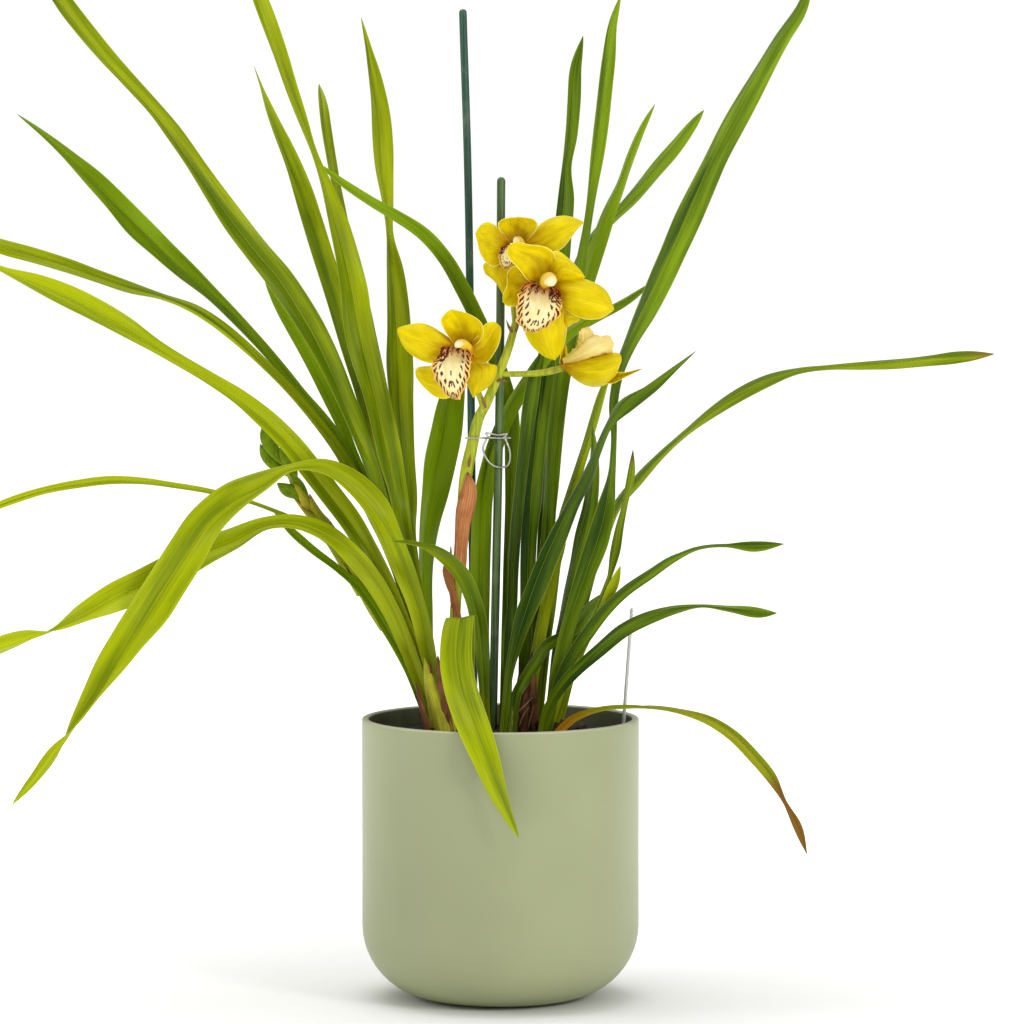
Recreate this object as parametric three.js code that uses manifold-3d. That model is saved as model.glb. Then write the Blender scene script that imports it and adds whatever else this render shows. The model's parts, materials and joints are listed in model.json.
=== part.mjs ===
// A potted orchid: a sage-green planter with an inner growing pot, the growing medium,
// support stakes, fans of strap leaves, a short spike of buds and a stem with four flowers.
// Millimetres, +Z up. The origin is the middle of the planter's foot; the front faces -Y.

import * as THREE from "three";
import { mergeVertices } from "three/addons/utils/BufferGeometryUtils.js";
import Module from "manifold-3d";

const wasm = await Module();
wasm.setup();

// ---------------------------------------------------------------- driving sizes, mm

const PLANTER = { radius: 85, height: 172, wall: 4.3, floor: 6, footCorner: 45, lip: 1.4 };
const INNER_POT = { topRadius: 79.2, top: 161, bottomRadius: 39, shoulderRadius: 58,
  shoulder: 17, waistRadius: 72, waist: 42, wall: 1.2 };
const MEDIUM = { edge: 157, crown: 164 };
const GAP = 0.3;
const STAKES = { tallRadius: 2.4, shortRadius: 2.6, clearRadius: 1.1 };
const WIRE_RADIUS = 0.6;
const LEAF = { thickness: 1.1, keel: 0.1, mostTurned: 1.9, across: 3, stationSpacing: 24,
  extraStations: 4, fewestStations: 10, curveSteps: 400 };
const TEPAL = { thickness: 1.2, cup: -0.16, fullAt: 0.8, edge: 0.6, stations: 7, across: 5 };
const LIP = { thickness: 1.2, cup: -0.3, roundness: 3, stations: 9, across: 5 };
const COLUMN = { radii: [2.6, 3, 2.6], behind: 2 };
const BUD_SWELL = [0, 0.8, 1, 0.5];

// How finely the round pieces are faceted: sides round them, and mm between their rings.
const SIDES = { planter: 56, stem: 8, stake: 10, wire: 5, shootBase: 12 };
const RINGS = { stake: 120, stem: 16, stalk: 8, sheath: 7, budStem: 14, bud: 4, shootBase: 6,
  column: 4, wire: 3.5 };
const PROFILE_STEPS = { corner: 6, mediumTop: 3 };
const MERGE = 1e-4;
const POINTED = 0.05;

// ------------------------------------------------ where the plant was read from the photo
// The plant was photographed from in front. VIEW says where from, in mm and radians, and
// how many picture units one focal length spans; points on the plant are written as
// [across, down] in that picture and a depth in mm (negative towards the viewer).

const VIEW = { away: 3000, height: 502, sideways: 7.1, tilt: 0.0678, focal: 4915, middle: 512 };

function fromPicture(across, down, depth) {
  const rise = -(down - VIEW.middle) / VIEW.focal;
  const right = (across - VIEW.middle) / VIEW.focal;
  const forward = Math.cos(VIEW.tilt) + rise * Math.sin(VIEW.tilt);
  const upward = rise * Math.cos(VIEW.tilt) - Math.sin(VIEW.tilt);
  const reach = (depth + VIEW.away) / forward;
  return new THREE.Vector3(VIEW.sideways + reach * right, depth, VIEW.height + reach * upward);
}

// --------------------------------------------------------------------- solid helpers

// Closed solid through a row of rings; a ring of one point makes a pointed end. The second
// half of a ring is split along the same diagonals as the first, so that the two faces of a
// thin blade stay apart where it twists.
function solidThrough(rings) {
  const positions = [];
  const starts = [];
  for (const ring of rings) {
    starts.push(positions.length / 3);
    for (const point of ring) {
      positions.push(point.x, point.y, point.z);
    }
  }
  const faces = [];
  for (let i = 0; i + 1 < rings.length; i++) {
    const a = starts[i];
    const b = starts[i + 1];
    const na = rings[i].length;
    const nb = rings[i + 1].length;
    const n = Math.max(na, nb);
    for (let j = 0; j < n; j++) {
      const k = (j + 1) % n;
      if (na === 1) {
        faces.push(a, b + k, b + j);
      } else if (nb === 1) {
        faces.push(a + j, a + k, b);
      } else if (j < n / 2) {
        faces.push(a + j, b + k, b + j, a + j, a + k, b + k);
      } else {
        faces.push(a + j, a + k, b + j, a + k, b + k, b + j);
      }
    }
  }
  const first = rings[0].length;
  for (let j = 2; j < first; j++) {
    faces.push(starts[0] + 1, starts[0] + (j + 1) % first, starts[0] + j);
  }
  const last = rings[rings.length - 1].length;
  const end = starts[rings.length - 1];
  for (let j = 2; j < last; j++) {
    faces.push(end + 1, end + j, end + (j + 1) % last);
  }
  const geometry = new THREE.BufferGeometry();
  geometry.setAttribute("position", new THREE.Float32BufferAttribute(positions, 3));
  geometry.setIndex(faces);
  return outwards(geometry);
}

// Turns the faces over when the solid came out inside out.
function outwards(geometry) {
  const p = geometry.attributes.position;
  const index = geometry.index.array;
  const a = new THREE.Vector3();
  const b = new THREE.Vector3();
  const c = new THREE.Vector3();
  let volume = 0;
  for (let i = 0; i < index.length; i += 3) {
    a.fromBufferAttribute(p, index[i]);
    b.fromBufferAttribute(p, index[i + 1]);
    c.fromBufferAttribute(p, index[i + 2]);
    volume += a.dot(b.cross(c));
  }
  if (volume < 0) {
    for (let i = 0; i < index.length; i += 3) {
      const keep = index[i + 1];
      index[i + 1] = index[i + 2];
      index[i + 2] = keep;
    }
  }
  return geometry;
}

function toManifold(geometry) {
  const bare = geometry.clone();
  bare.deleteAttribute("normal");
  bare.deleteAttribute("uv");
  const merged = mergeVertices(bare, MERGE);
  return new wasm.Manifold(new wasm.Mesh({
    numProp: 3,
    vertProperties: new Float32Array(merged.attributes.position.array),
    triVerts: new Uint32Array(merged.index.array),
  }));
}

function fromManifold(solid) {
  const mesh = solid.getMesh();
  const geometry = new THREE.BufferGeometry();
  geometry.setAttribute("position", new THREE.Float32BufferAttribute(mesh.vertProperties, 3));
  geometry.setIndex(Array.from(mesh.triVerts));
  return geometry;
}

function joined(geometries) {
  let solid = toManifold(geometries[0]);
  for (const geometry of geometries.slice(1)) {
    solid = solid.add(toManifold(geometry));
  }
  return fromManifold(solid);
}

function cutFrom(geometry, cutter) {
  return fromManifold(toManifold(geometry).subtract(toManifold(cutter)));
}

function mix(a, b, t) {
  return a + (b - a) * t;
}

// Value of a row of numbers at t from 0 to 1, eased between neighbours.
function along(values, t) {
  const spans = values.length - 1;
  const i = Math.min(Math.floor(t * spans), spans - 1);
  const f = t * spans - i;
  return mix(values[i], values[i + 1], THREE.MathUtils.smoothstep(f, 0, 1));
}

// Any direction that no path here runs along.
const FIRST_SIDE = new THREE.Vector3(1, 0.02, 0.01);

// Round bar or spindle along a path: points, and radii eased from its start to its end.
function roundAlong(points, radii, sides, spacing) {
  const curve = new THREE.CatmullRomCurve3(points, false, "centripetal");
  const count = Math.max(3, Math.round(curve.getLength() / spacing) + 1);
  const rings = [];
  const across = FIRST_SIDE.clone();
  for (let i = 0; i < count; i++) {
    const t = curve.getUtoTmapping(i / (count - 1), 0);
    const centre = curve.getPoint(t);
    const tangent = curve.getTangent(t).normalize();
    const side = across.clone().addScaledVector(tangent, -across.dot(tangent)).normalize();
    across.copy(side);
    const up = new THREE.Vector3().crossVectors(tangent, side);
    const radius = along(radii, t);
    if (radius < POINTED) {
      rings.push([centre]);
      continue;
    }
    const ring = [];
    for (let j = 0; j < sides; j++) {
      const angle = (2 * Math.PI * j) / sides;
      ring.push(centre.clone().addScaledVector(side, radius * Math.cos(angle))
        .addScaledVector(up, radius * Math.sin(angle)));
    }
    rings.push(ring);
  }
  return solidThrough(rings);
}

// Below this a blade runs almost straight at the viewer, and keeps the side it had.
const FOLD_LIMIT = 0.4;

// A blade along a curve: at each station a lens section, thick in the middle and sharp at
// both edges. size gives its stations, its points across each side, its thickness, and its
// cup, how deep the section is bent as a share of its half width. Roll 0 shows the face.
function blade(curve, halfWidthAt, rollAt, size) {
  const rings = [];
  const toViewer = new THREE.Vector3(0, -1, 0);
  const previous = new THREE.Vector3();
  for (let i = 0; i < size.stations; i++) {
    const u = i / (size.stations - 1);
    const t = curve.getUtoTmapping(u, 0);
    const centre = curve.getPoint(t);
    const half = halfWidthAt(t, u);
    if (half < POINTED) {
      rings.push([centre]);
      continue;
    }
    const tangent = curve.getTangent(t).normalize();
    const flat = new THREE.Vector3().crossVectors(tangent, toViewer);
    if (previous.lengthSq() > 0 && (flat.length() < FOLD_LIMIT || flat.dot(previous) < 0)) {
      flat.copy(previous).addScaledVector(tangent, -previous.dot(tangent));
    }
    previous.copy(flat.normalize());
    const face = new THREE.Vector3().crossVectors(flat, tangent).normalize();
    const roll = rollAt(t, u);
    const side = flat.clone().multiplyScalar(Math.cos(roll)).addScaledVector(face, Math.sin(roll));
    const out = new THREE.Vector3().crossVectors(side, tangent).normalize();
    const thick = Math.min(size.thickness, half / 2) / 2;
    const ring = [];
    const steps = size.across - 1;
    for (let j = 0; j < 2 * steps; j++) {
      const v = j <= steps ? -1 + (2 * j) / steps : 3 - (2 * j) / steps;
      const skin = (j <= steps ? 1 : -1) * thick * (1 - v * v);
      const cup = size.cup * half * (v * v - 1);
      ring.push(centre.clone().addScaledVector(side, half * v).addScaledVector(out, skin + cup));
    }
    rings.push(ring);
  }
  return solidThrough(rings);
}

function material(colour, roughness, metalness = 0) {
  return new THREE.MeshStandardMaterial({ color: colour, roughness, metalness });
}

const greenLeaf = () => material(0x7f9a12, 0.5);
const darkLeaf = () => material(0x3f6a14, 0.5);
const yellowLeaf = () => material(0xb98a10, 0.6);
const greenStem = () => material(0xa8b43a, 0.55);
const budGreen = () => material(0x7b9418, 0.55);
const papery = () => material(0xb0764a, 0.8);
const petalYellow = () => material(0xe0cc20, 0.5);
const lipCream = () => material(0xf0dca0, 0.5);
const planterSage = () => material(0xa5ac87, 0.6);
const blackPlastic = () => material(0x151515, 0.5);
const barkBrown = () => material(0x2a1c14, 0.9);
const stakeGreen = () => material(0x2f5a3c, 0.5);
const stakeLightGreen = () => material(0x4b6e32, 0.5);
const clearPlastic = () => material(0xe8ebe6, 0.3);
const wireSteel = () => material(0xc8c8c0, 0.3, 1);

function part(name, geometry, look) {
  const mesh = new THREE.Mesh(geometry, look);
  mesh.name = name;
  return mesh;
}

// --------------------------------------------------------------------- pot and medium

function lathe(profile) {
  const points = profile.map(([r, z]) => new THREE.Vector2(r, z));
  const geometry = new THREE.LatheGeometry(points, SIDES.planter);
  geometry.rotateX(Math.PI / 2);
  geometry.deleteAttribute("normal");
  geometry.deleteAttribute("uv");
  return outwards(mergeVertices(geometry, MERGE));
}

function cornerArc(radius, corner, bottom, steps) {
  const points = [];
  for (let i = 0; i <= steps; i++) {
    const angle = (Math.PI / 2) * (i / steps);
    const across = radius - corner + corner * Math.sin(angle);
    points.push([across, bottom + corner - corner * Math.cos(angle)]);
  }
  return points;
}

function planter() {
  const { radius, height, wall, floor, footCorner, lip } = PLANTER;
  const steps = PROFILE_STEPS.corner;
  const outside = cornerArc(radius, footCorner, 0, steps);
  const inside = cornerArc(radius - wall, footCorner - wall, floor, steps).reverse();
  const profile = [[0, 0], ...outside, [radius, height - lip], [radius - lip, height],
    [radius - wall + lip, height], [radius - wall, height - lip], ...inside, [0, floor]];
  return part("pot", lathe(profile), planterSage());
}

function innerPot() {
  const s = INNER_POT;
  const bottom = PLANTER.floor + GAP;
  const profile = [[0, bottom], [s.bottomRadius, bottom], [s.shoulderRadius, s.shoulder],
    [s.waistRadius, s.waist], [s.topRadius, s.top], [s.topRadius - s.wall, s.top],
    [s.waistRadius - s.wall, s.waist], [s.shoulderRadius - s.wall, s.shoulder + s.wall],
    [s.bottomRadius - s.wall, bottom + s.wall], [0, bottom + s.wall]];
  return part("nursery_pot", lathe(profile), blackPlastic());
}

function mediumTop(x, y) {
  const edge = INNER_POT.topRadius - INNER_POT.wall - GAP;
  const share = Math.min(1, (x * x + y * y) / (edge * edge));
  return MEDIUM.crown - (MEDIUM.crown - MEDIUM.edge) * share;
}

function medium() {
  const s = INNER_POT;
  const inset = s.wall + 2 * GAP;
  const bottom = PLANTER.floor + GAP + s.wall + GAP;
  const rings = PROFILE_STEPS.mediumTop;
  const edgeShare = (MEDIUM.edge - s.waist) / (s.top - s.waist);
  const edgeRadius = mix(s.waistRadius, s.topRadius, edgeShare) - inset;
  const profile = [[0, bottom], [s.bottomRadius - inset, bottom],
    [s.shoulderRadius - inset, s.shoulder + s.wall + GAP], [s.waistRadius - inset, s.waist]];
  for (let i = 0; i < rings; i++) {
    const r = edgeRadius * (1 - i / rings);
    profile.push([r, mediumTop(r, 0) - GAP]);
  }
  profile.push([0, MEDIUM.crown - GAP]);
  return part("growing_medium", lathe(profile), barkBrown());
}

// Moves the last point of a path until a piece of that half width, leaning as the path
// does there, stands just clear of the medium.
function seatFoot(points, half) {
  const foot = points[points.length - 1];
  const above = points[points.length - 2];
  const level = mediumTop(foot.x, foot.y);
  const across = Math.hypot(above.x - foot.x, above.y - foot.y);
  const lean = across / Math.hypot(across, above.z - level);
  foot.z = level + half * lean;
}

// ----------------------------------------------------------------------------- leaves
// Each leaf: name, whether it is a dark one, full width in mm, depth of its foot and of
// its tip in mm, and its run from tip to foot as [across, down, width seen in mm]. A width
// with a minus sign shows the other face, past a twist. An optional fourth number is an
// exact depth, for the leaves that cross over something.

const LEAVES = [
  ["leaf_left_1", 0, 17, 0, -42, [[2, -88, 0], [61, 0, 10], [108, 60, 9], [149, 105, 7.4],
    [190, 160, 10.5], [247, 240, 14.5], [280, 280, 16], [317, 340, 14.6], [353, 420, 10.3],
    [376, 480, 8], [403, 580, 8], [440, 716, 7]]],
  ["leaf_left_2", 1, 14, 7.8, 44, [[17, 114, 0], [47, 138, 3.6], [94, 181, 10.8], [140, 228, 15.5],
    [180, 266, 12], [215, 299, 8], [250, 335, 6.5], [300, 394, 5], [337, 436, 5],
    [362, 485, 6], [404, 590, 7], [436, 716, 6]]],
  ["leaf_left_3", 0, 10, 5.5, 15, [[-62, 226, 0], [-25, 237, 7], [0, 246, 9.2], [60, 264, 9],
    [120, 285, 7.2], [166, 298, 3.8], [200, 313, 5.2], [240, 343, 5.2], [280, 382, 5.3],
    [310, 414, 6], [336, 447, 7], [354, 478, 7.5], [399, 575, 7], [434, 716, 6]]],
  ["leaf_left_4", 0, 15, -2, -20, [[-25, 257, 0], [0, 269, 3], [40, 285, 9.2], [80, 303, 14],
    [120, 325, 12], [160, 350, 8.2], [200, 374, 6.6], [240, 399, 8], [280, 434, 12],
    [320, 482, 13.6], [352, 524, 13.6], [380, 572, 11.6], [404, 625, 9], [438, 716, 7]]],
  ["leaf_left_5", 0, 5, 20.5, 8, [[-45, 524, 0, 8], [0, 505, 5, 8], [42, 491, 4.6, 8],
    [118, 480, 4.4, 8], [160, 484, 3.6, 8], [210, 492, 3.2, 8], [252, 503, 3, 7],
    [300, 523, 3, 7], [345, 556, 3.6, 9], [392, 625, 4, 17.5], [433, 716, 4.4]]],
  ["leaf_left_6", 1, 6.5, 23, 25, [[274, 512, 0], [283, 522, 3], [292, 533, 4.5],
    [315, 553, 4.2], [340, 571, 3.4], [362, 591, 5], [386, 628, 6], [406, 663, 6],
    [432, 716, 5.5]]],
  ["leaf_left_7", 0, 20, -4.5, -60, [[-95, 704, 0], [-45, 668, -9], [0, 647, -12.5],
    [36, 635, -8], [62, 627, 4], [90, 612, 11], [122, 595, 19], [160, 577, 19.5],
    [205, 552, 16.6], [232, 541, 12.5], [257, 528, 7], [281, 522, 6], [312, 528, 7.5],
    [345, 548, 12], [375, 583, 12], [399, 628, 10], [438, 716, 7]]],
  ["leaf_left_8", 0, 24, -7, -80, [[12, 805, 0], [25, 790, -3], [42, 772, -8], [58, 748, -6],
    [72, 728, 4], [92, 700, 10.5], [120, 655, 19], [150, 610, 24], [182, 560, 24],
    [213, 516, 21], [246, 493, 16], [270, 481, 10], [292, 469, 4.6], [317, 467, 7.4],
    [347, 481, 12.4], [377, 511, 14.6], [400, 560, 13.6], [418, 610, 11], [444, 716, 7]]],
  ["leaf_left_9", 0, 18, 3.4, -4, [[242, -45, 0], [259.5, 0, 9], [274, 42, 8.6], [293, 98, 7],
    [310, 142, 5], [317, 162, 4.2], [329, 195, 7], [341, 238, 12], [351, 280, 16],
    [361, 340, 18.5], [374, 390, 16], [388, 450, 14], [400, 510, 10], [416, 590, 9],
    [443, 716, 7]]],
  ["leaf_left_10", 0, 13, 16.2, 109, [[254, 66, 0], [260, 83, 1.5], [266, 100, 2.6],
    [274, 121, 6.2], [290, 160, 9.6], [305, 200, 12], [318, 240, 13], [331, 280, 13],
    [344, 325, 12.4], [358, 380, 10], [381, 470, 7], [408, 590, 6], [438, 716, 5]]],
  ["leaf_left_11", 0, 11, 20.6, 148, [[319, 84, 0], [322, 99, 5], [325, 125, 5.6], [331, 160, 4.6],
    [335, 185, 4.4], [340, 210, 5.4], [349, 250, 7], [363, 310, 8.5], [379, 390, 9],
    [396, 480, 8], [414, 590, 6], [441, 716, 5]]],
  ["leaf_left_12", 0, 17, 13, 90, [[361, 17, 0], [368, 50, 3.6], [375.5, 90, 9], [380, 120, 11.4],
    [382, 150, 12], [384, 180, 10], [387, 205, 7], [389, 230, 4], [393, 270, 9.4],
    [396.5, 310, 13.6], [399, 360, 16.5], [401, 410, 14], [406, 470, 10], [411, 540, 7],
    [421, 610, 6], [445, 716, 5]]],
  ["leaf_left_13", 1, 10, 10.5, 66, [[262, 268, 0], [272, 292, 5], [288, 322, 8], [306, 352, 9],
    [324, 388, 8], [341, 425, 6.5], [356, 462, 6], [373, 500, 6], [405, 590, 6],
    [440, 716, 5]]],
  ["leaf_left_14", 1, 20, 29.5, 54, [[462, 345, 0], [456, 372, 9], [450, 400, 15.5],
    [447, 425, 19], [440, 460, 19.6], [434, 490, 17], [428, 522, 13.6], [424.5, 560, 10],
    [425, 600, 6.4], [431, 650, 5], [448, 716, 5]]],
  ["leaf_front_folded", 0, 16, -13, -96, [[519, 838, 0, -101], [510, 818, 6, -100],
    [500, 796, 10.5, -98], [488, 764, 16, -96], [478, 738, 19, -90], [469, 714, 20, -78],
    [461, 690, 20, -64], [456, 660, 19.6, -52], [457, 634, 18.6, -43], [459, 617.5, 18, -37],
    [462, 632, 16, -31], [464, 665, 13, -26], [465, 716, 8, -21]]],
  ["leaf_front_small", 0, 10, -14, -45, [[392, 541, 0], [408, 543, 2.5], [424, 547, 4],
    [440, 555, 8], [456, 567, 9.6], [469, 590, 9], [478, 620, 10], [482, 655, 8],
    [484, 690, 6], [487, 716, 5]]],
  ["leaf_middle_1", 1, 10.5, 11.8, 28, [[318, 163, 0], [333, 176, 4], [360, 195, 5.6],
    [385, 211, 6.2], [413, 227, 8], [440, 254, 8.6], [461, 287, 9.2], [480, 325, 9],
    [499, 370, 9.5], [510, 410, 10], [512, 460, 10], [511, 520, 9], [508, 600, 7],
    [503, 716, 5]]],
  ["leaf_middle_2", 1, 12, 6.5, 12, [[654, 281, 0], [634, 295, 4.4], [610, 309, 5.6],
    [584, 322, 7], [556, 344, 8], [532, 375, 9], [510, 410, 9.5], [491, 455, 10],
    [483, 500, 12], [481, 545, 12.5], [480, 600, 12], [483, 650, 8], [487, 716, 5]]],
  ["leaf_middle_3", 1, 13, 12.6, 44, [[583, 36, 0], [577, 55, 6], [574, 90, 8.8], [571, 130, 8.4],
    [567, 160, 5], [565, 178, 6.6], [565, 200, 9.4], [562, 230, 11], [558, 270, 12],
    [550, 330, 12], [541, 400, 12], [534, 470, 11], [529, 540, 10], [526, 620, 8],
    [521, 716, 5]]],
  ["leaf_middle_4", 1, 13, 17.5, 64, [[621, -6, 0], [613, 20, 5.2], [608, 60, 8], [602, 105, 8.6],
    [595, 160, 7.8], [588, 210, 6], [581, 255, 7], [573, 310, 9], [561, 370, 11],
    [554, 430, 11], [550, 490, 9], [547, 550, 8], [538, 630, 7], [530, 716, 5]]],
  ["leaf_middle_5", 1, 11, 2.2, -1, [[545, 345, 0], [537, 365, 7], [531, 395, 9], [525, 440, 8],
    [519, 490, 7], [514, 540, 7], [510, 600, 6], [507, 716, 5]]],
  ["leaf_right_1", 1, 13, 21.2, 84, [[655, 104, 0], [647, 118, 3.5], [635, 142, 5.6],
    [621.5, 180, 6.4], [605, 220, 8.2], [592, 262, 9], [577, 310, 10], [563, 370, 10],
    [554, 440, 8], [546, 530, 7], [536, 630, 6], [525, 716, 5]]],
  ["leaf_right_2", 1, 13, 25.1, 128, [[704, 110, 0], [695, 121, 5.5], [675, 147, 8.6],
    [648, 178, 9.2], [625, 204, 8.2], [603, 225, 6.6], [582, 255, 8], [568, 310, 9],
    [557, 380, 9], [548, 470, 8], [540, 590, 7], [527, 716, 5]]],
  ["leaf_right_3", 1, 19, -18, -30, [[812, -24, 0, -30], [804, 2, 7, -28], [780, 40, 9.5, -24],
    [749.5, 92, 12.3, -20], [718, 150, 14, -15], [689.5, 212, 17, -9], [665, 268, 16, -4],
    [641, 318, 12, -2], [625, 352, 6, -3], [612, 392, 6.8, -6], [612.7, 425, 3.2, -9],
    [612, 460, 4.2, -11], [607, 500, 10.5, -13], [603, 522, 12.5, -14], [596, 545, 14, -15],
    [587, 570, 12, -15.5], [578, 595, 10, -16], [562, 650, 8, -17], [546, 716, 6]]],
  ["leaf_right_4", 1, 15, -15, -70, [[696, 351, 0], [688, 354.5, 3.4], [674, 368, 3],
    [657, 381, 6], [640, 393.5, 8.4], [624, 405, 10], [614, 417, 8], [606, 430, 3],
    [600, 442, 3.4], [593, 462, 6], [584, 481, 8], [574, 500, 8.6], [565, 519, 9.6],
    [555, 540, 11.4], [545, 562, 12.6], [537, 582, 13], [529, 602, 12.6], [517, 640, 8],
    [510, 668, 5.4], [503, 716, 4.4]]],
  ["leaf_right_5", 0, 12, 12, 40, [[994, 354, 0], [975, 356, 6.5], [945, 358, 8], [905, 362, 7],
    [860, 365, 4], [826, 367, 2.2], [795, 371, 4], [760, 383, 8.4], [722, 404, 9.2],
    [695, 424, 6.5], [668, 447, 3.7], [646, 469, 6.8], [629, 488, 6], [615, 507, 5.5],
    [600, 545, 6], [576, 630, 7], [556, 716, 6]]],
  ["leaf_right_6", 0, 6, 9, -5, [[633, 450, 0], [633, 459, 3.2], [630.5, 478, 4.6],
    [625.5, 500, 3.6], [620.5, 520, 5.2], [617, 540, 6.1], [614, 557, 6], [608.5, 576, 2.4],
    [600, 598, 2.6], [582, 640, 4], [558, 716, 4]]],
  ["leaf_right_7", 0, 6, -12.5, -20, [[620.5, 566, 0], [617.5, 574, 5.4], [613, 586, 6],
    [606, 600, 5.4], [597, 617, 4.4], [576, 660, 4.4], [552, 716, 4.4]]],
  ["leaf_right_8", 1, 9, -22, -20, [[784, 544, 0], [774, 545, 4.2], [760, 546, 6.5],
    [742, 545, 4], [722, 545, 1.8], [700, 547.5, 2.8], [682, 552.5, 5.6], [660, 567, 6.4],
    [640, 580, 7], [620, 595, 7.4], [600, 616, 8], [584, 638, 8], [570, 660, 7],
    [556, 690, 6], [547, 716, 6]]],
  ["leaf_right_9", 1, 11, -25.5, -90, [[777, 613, 0], [767, 611, 5.5], [750, 611, 7.8],
    [732, 609, 5.4], [715, 607, 2], [698, 606.5, 2], [680, 608, 5], [660, 612.5, 8.4],
    [640, 621, 9.2], [620, 631.5, 9.2], [600, 648, 8.4], [580, 667, 7.4], [562, 686, 7],
    [551, 702, 6.5], [542, 722, 6]]],
  ["leaf_right_10", 2, 8, -36, -60, [[807, 854, 0], [803, 838, 5], [795, 820, 5.2],
    [786, 803, 2.2], [779, 790, 3.2], [769, 773, 7], [754, 756, 7], [737, 738, 6.4],
    [710, 720, 6], [680, 710.5, 5], [650, 707, 3.4], [619, 707, 2.6], [598, 709.5, 3.2],
    [580, 715, 4.6], [565, 725, 5.2], [553, 737, 5]]],
  ["leaf_right_11", 0, 8, 29, 25, [[614, 362, 0], [606, 380, 3.6], [600, 400, 4.8],
    [594, 420, 5.6], [588, 440, 6], [581, 460, 6], [575, 480, 6.4], [568, 503, 7],
    [560, 530, 7], [552, 590, 6], [538, 716, 5]]],
  ["leaf_right_12", 1, 13, 15, 10, [[592, 424, 0], [593, 445, 4], [593, 475, 7],
    [590, 505, 9.5], [583, 535, 11], [574, 570, 9], [566, 605, 8], [558, 650, 7],
    [549, 716, 6]]],
  ["leaf_right_13", 1, 11, -12, 0, [[601, 594, 0], [592, 603, 6], [581, 620, 9], [566, 634, 8],
    [547, 645, 8], [532, 668, 8], [518, 690, 6.5], [512, 716, 5]]],
  ["leaf_right_14", 0, 9, 9.5, 12, [[568, 520, 0], [562, 540, 3.6], [556, 560, 4.6],
    [551.5, 582, 6], [546, 605, 7.4], [541, 628, 8], [536, 655, 8.2], [531, 685, 8],
    [528, 716, 7]]],
];
const LEAF_LOOKS = [greenLeaf, darkLeaf, yellowLeaf];
// The depth runs from the foot's to the tip's, slowly at first.
const LEAF_SPREAD_POWER = 1.3;
// A leaf is a share of its full width at its foot, and full a share of its length above it.
const LEAF_FOOT = { share: 0.45, blend: 0.3 };
// Its pointed end takes up this share of its length.
const LEAF_END = { share: 0.12, power: 0.6 };

function leaf([name, look, width, footDepth, tipDepth, run]) {
  const last = run.length - 1;
  const points = run.map(([across, down, , depth], i) => {
    const s = Math.pow(1 - i / last, LEAF_SPREAD_POWER);
    return fromPicture(across, down, depth ?? mix(footDepth, tipDepth, s));
  });
  const seen = run.map((row) => row[2]);
  seatFoot(points, Math.abs(seen[last]) / 2);
  const curve = new THREE.CatmullRomCurve3(points, false, "centripetal");
  curve.arcLengthDivisions = LEAF.curveSteps;
  const length = curve.getLength();
  const stations = Math.max(LEAF.fewestStations,
    Math.round(length / LEAF.stationSpacing) + LEAF.extraStations);
  const fullWidth = (u) => {
    const fromFoot = 1 - u;
    const foot = mix(LEAF_FOOT.share, 1, Math.min(1, fromFoot / LEAF_FOOT.blend));
    return width * foot * Math.pow(Math.min(1, u / LEAF_END.share), LEAF_END.power);
  };
  const trueWidth = (t, u) => {
    if (u === 0) {
      return 0;
    }
    const shown = Math.abs(along(seen, t));
    const whole = Math.min(fullWidth(u), shown * LEAF.mostTurned);
    return u > 1 - LEAF_FOOT.blend ? shown : Math.max(shown, whole);
  };
  const roll = (t, u) => {
    const whole = trueWidth(t, u);
    return whole > 0 ? Math.acos(Math.max(-1, Math.min(1, along(seen, t) / whole))) : 0;
  };
  const size = { ...LEAF, cup: LEAF.keel, stations };
  return part(name, blade(curve, (t, u) => trueWidth(t, u) / 2, roll, size), LEAF_LOOKS[look]());
}

// ------------------------------------------------------------------- stakes and wire

function stake(name, run, radius, look) {
  const points = run.map((row) => fromPicture(...row));
  seatFoot(points, radius);
  return part(name, roundAlong(points, [radius, radius], SIDES.stake, RINGS.stake), look);
}

// The wire runs in front of the stem, back to the short stake, round in a loop, and is
// twisted on itself.
const WIRE_BAR = [[465, 438, -9.3], [479, 438, -9.3], [490, 438, -5.6], [499, 438, -4],
  [511, 438, -4]];
const WIRE_LOOP = [[487, 438, -6.3], [483, 449, -5.4], [489, 462, -4.4], [498, 467, -4.1],
  [508, 465, -4], [510, 452, -4], [505, 438, -4]];
const WIRE_TWIST = [[490, 438, -5.4], [486, 433, -5.6], [498, 435, -4.1], [507, 434, -4],
  [503, 438, -4]];

function wireClip() {
  const bends = [WIRE_BAR, WIRE_LOOP, WIRE_TWIST].map((run) => {
    const points = run.map((row) => fromPicture(...row));
    return roundAlong(points, [WIRE_RADIUS, WIRE_RADIUS], SIDES.wire, RINGS.wire);
  });
  return part("wire_clip", joined(bends), wireSteel());
}

// -------------------------------------------------------- stem, sheaths, buds, bases

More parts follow.
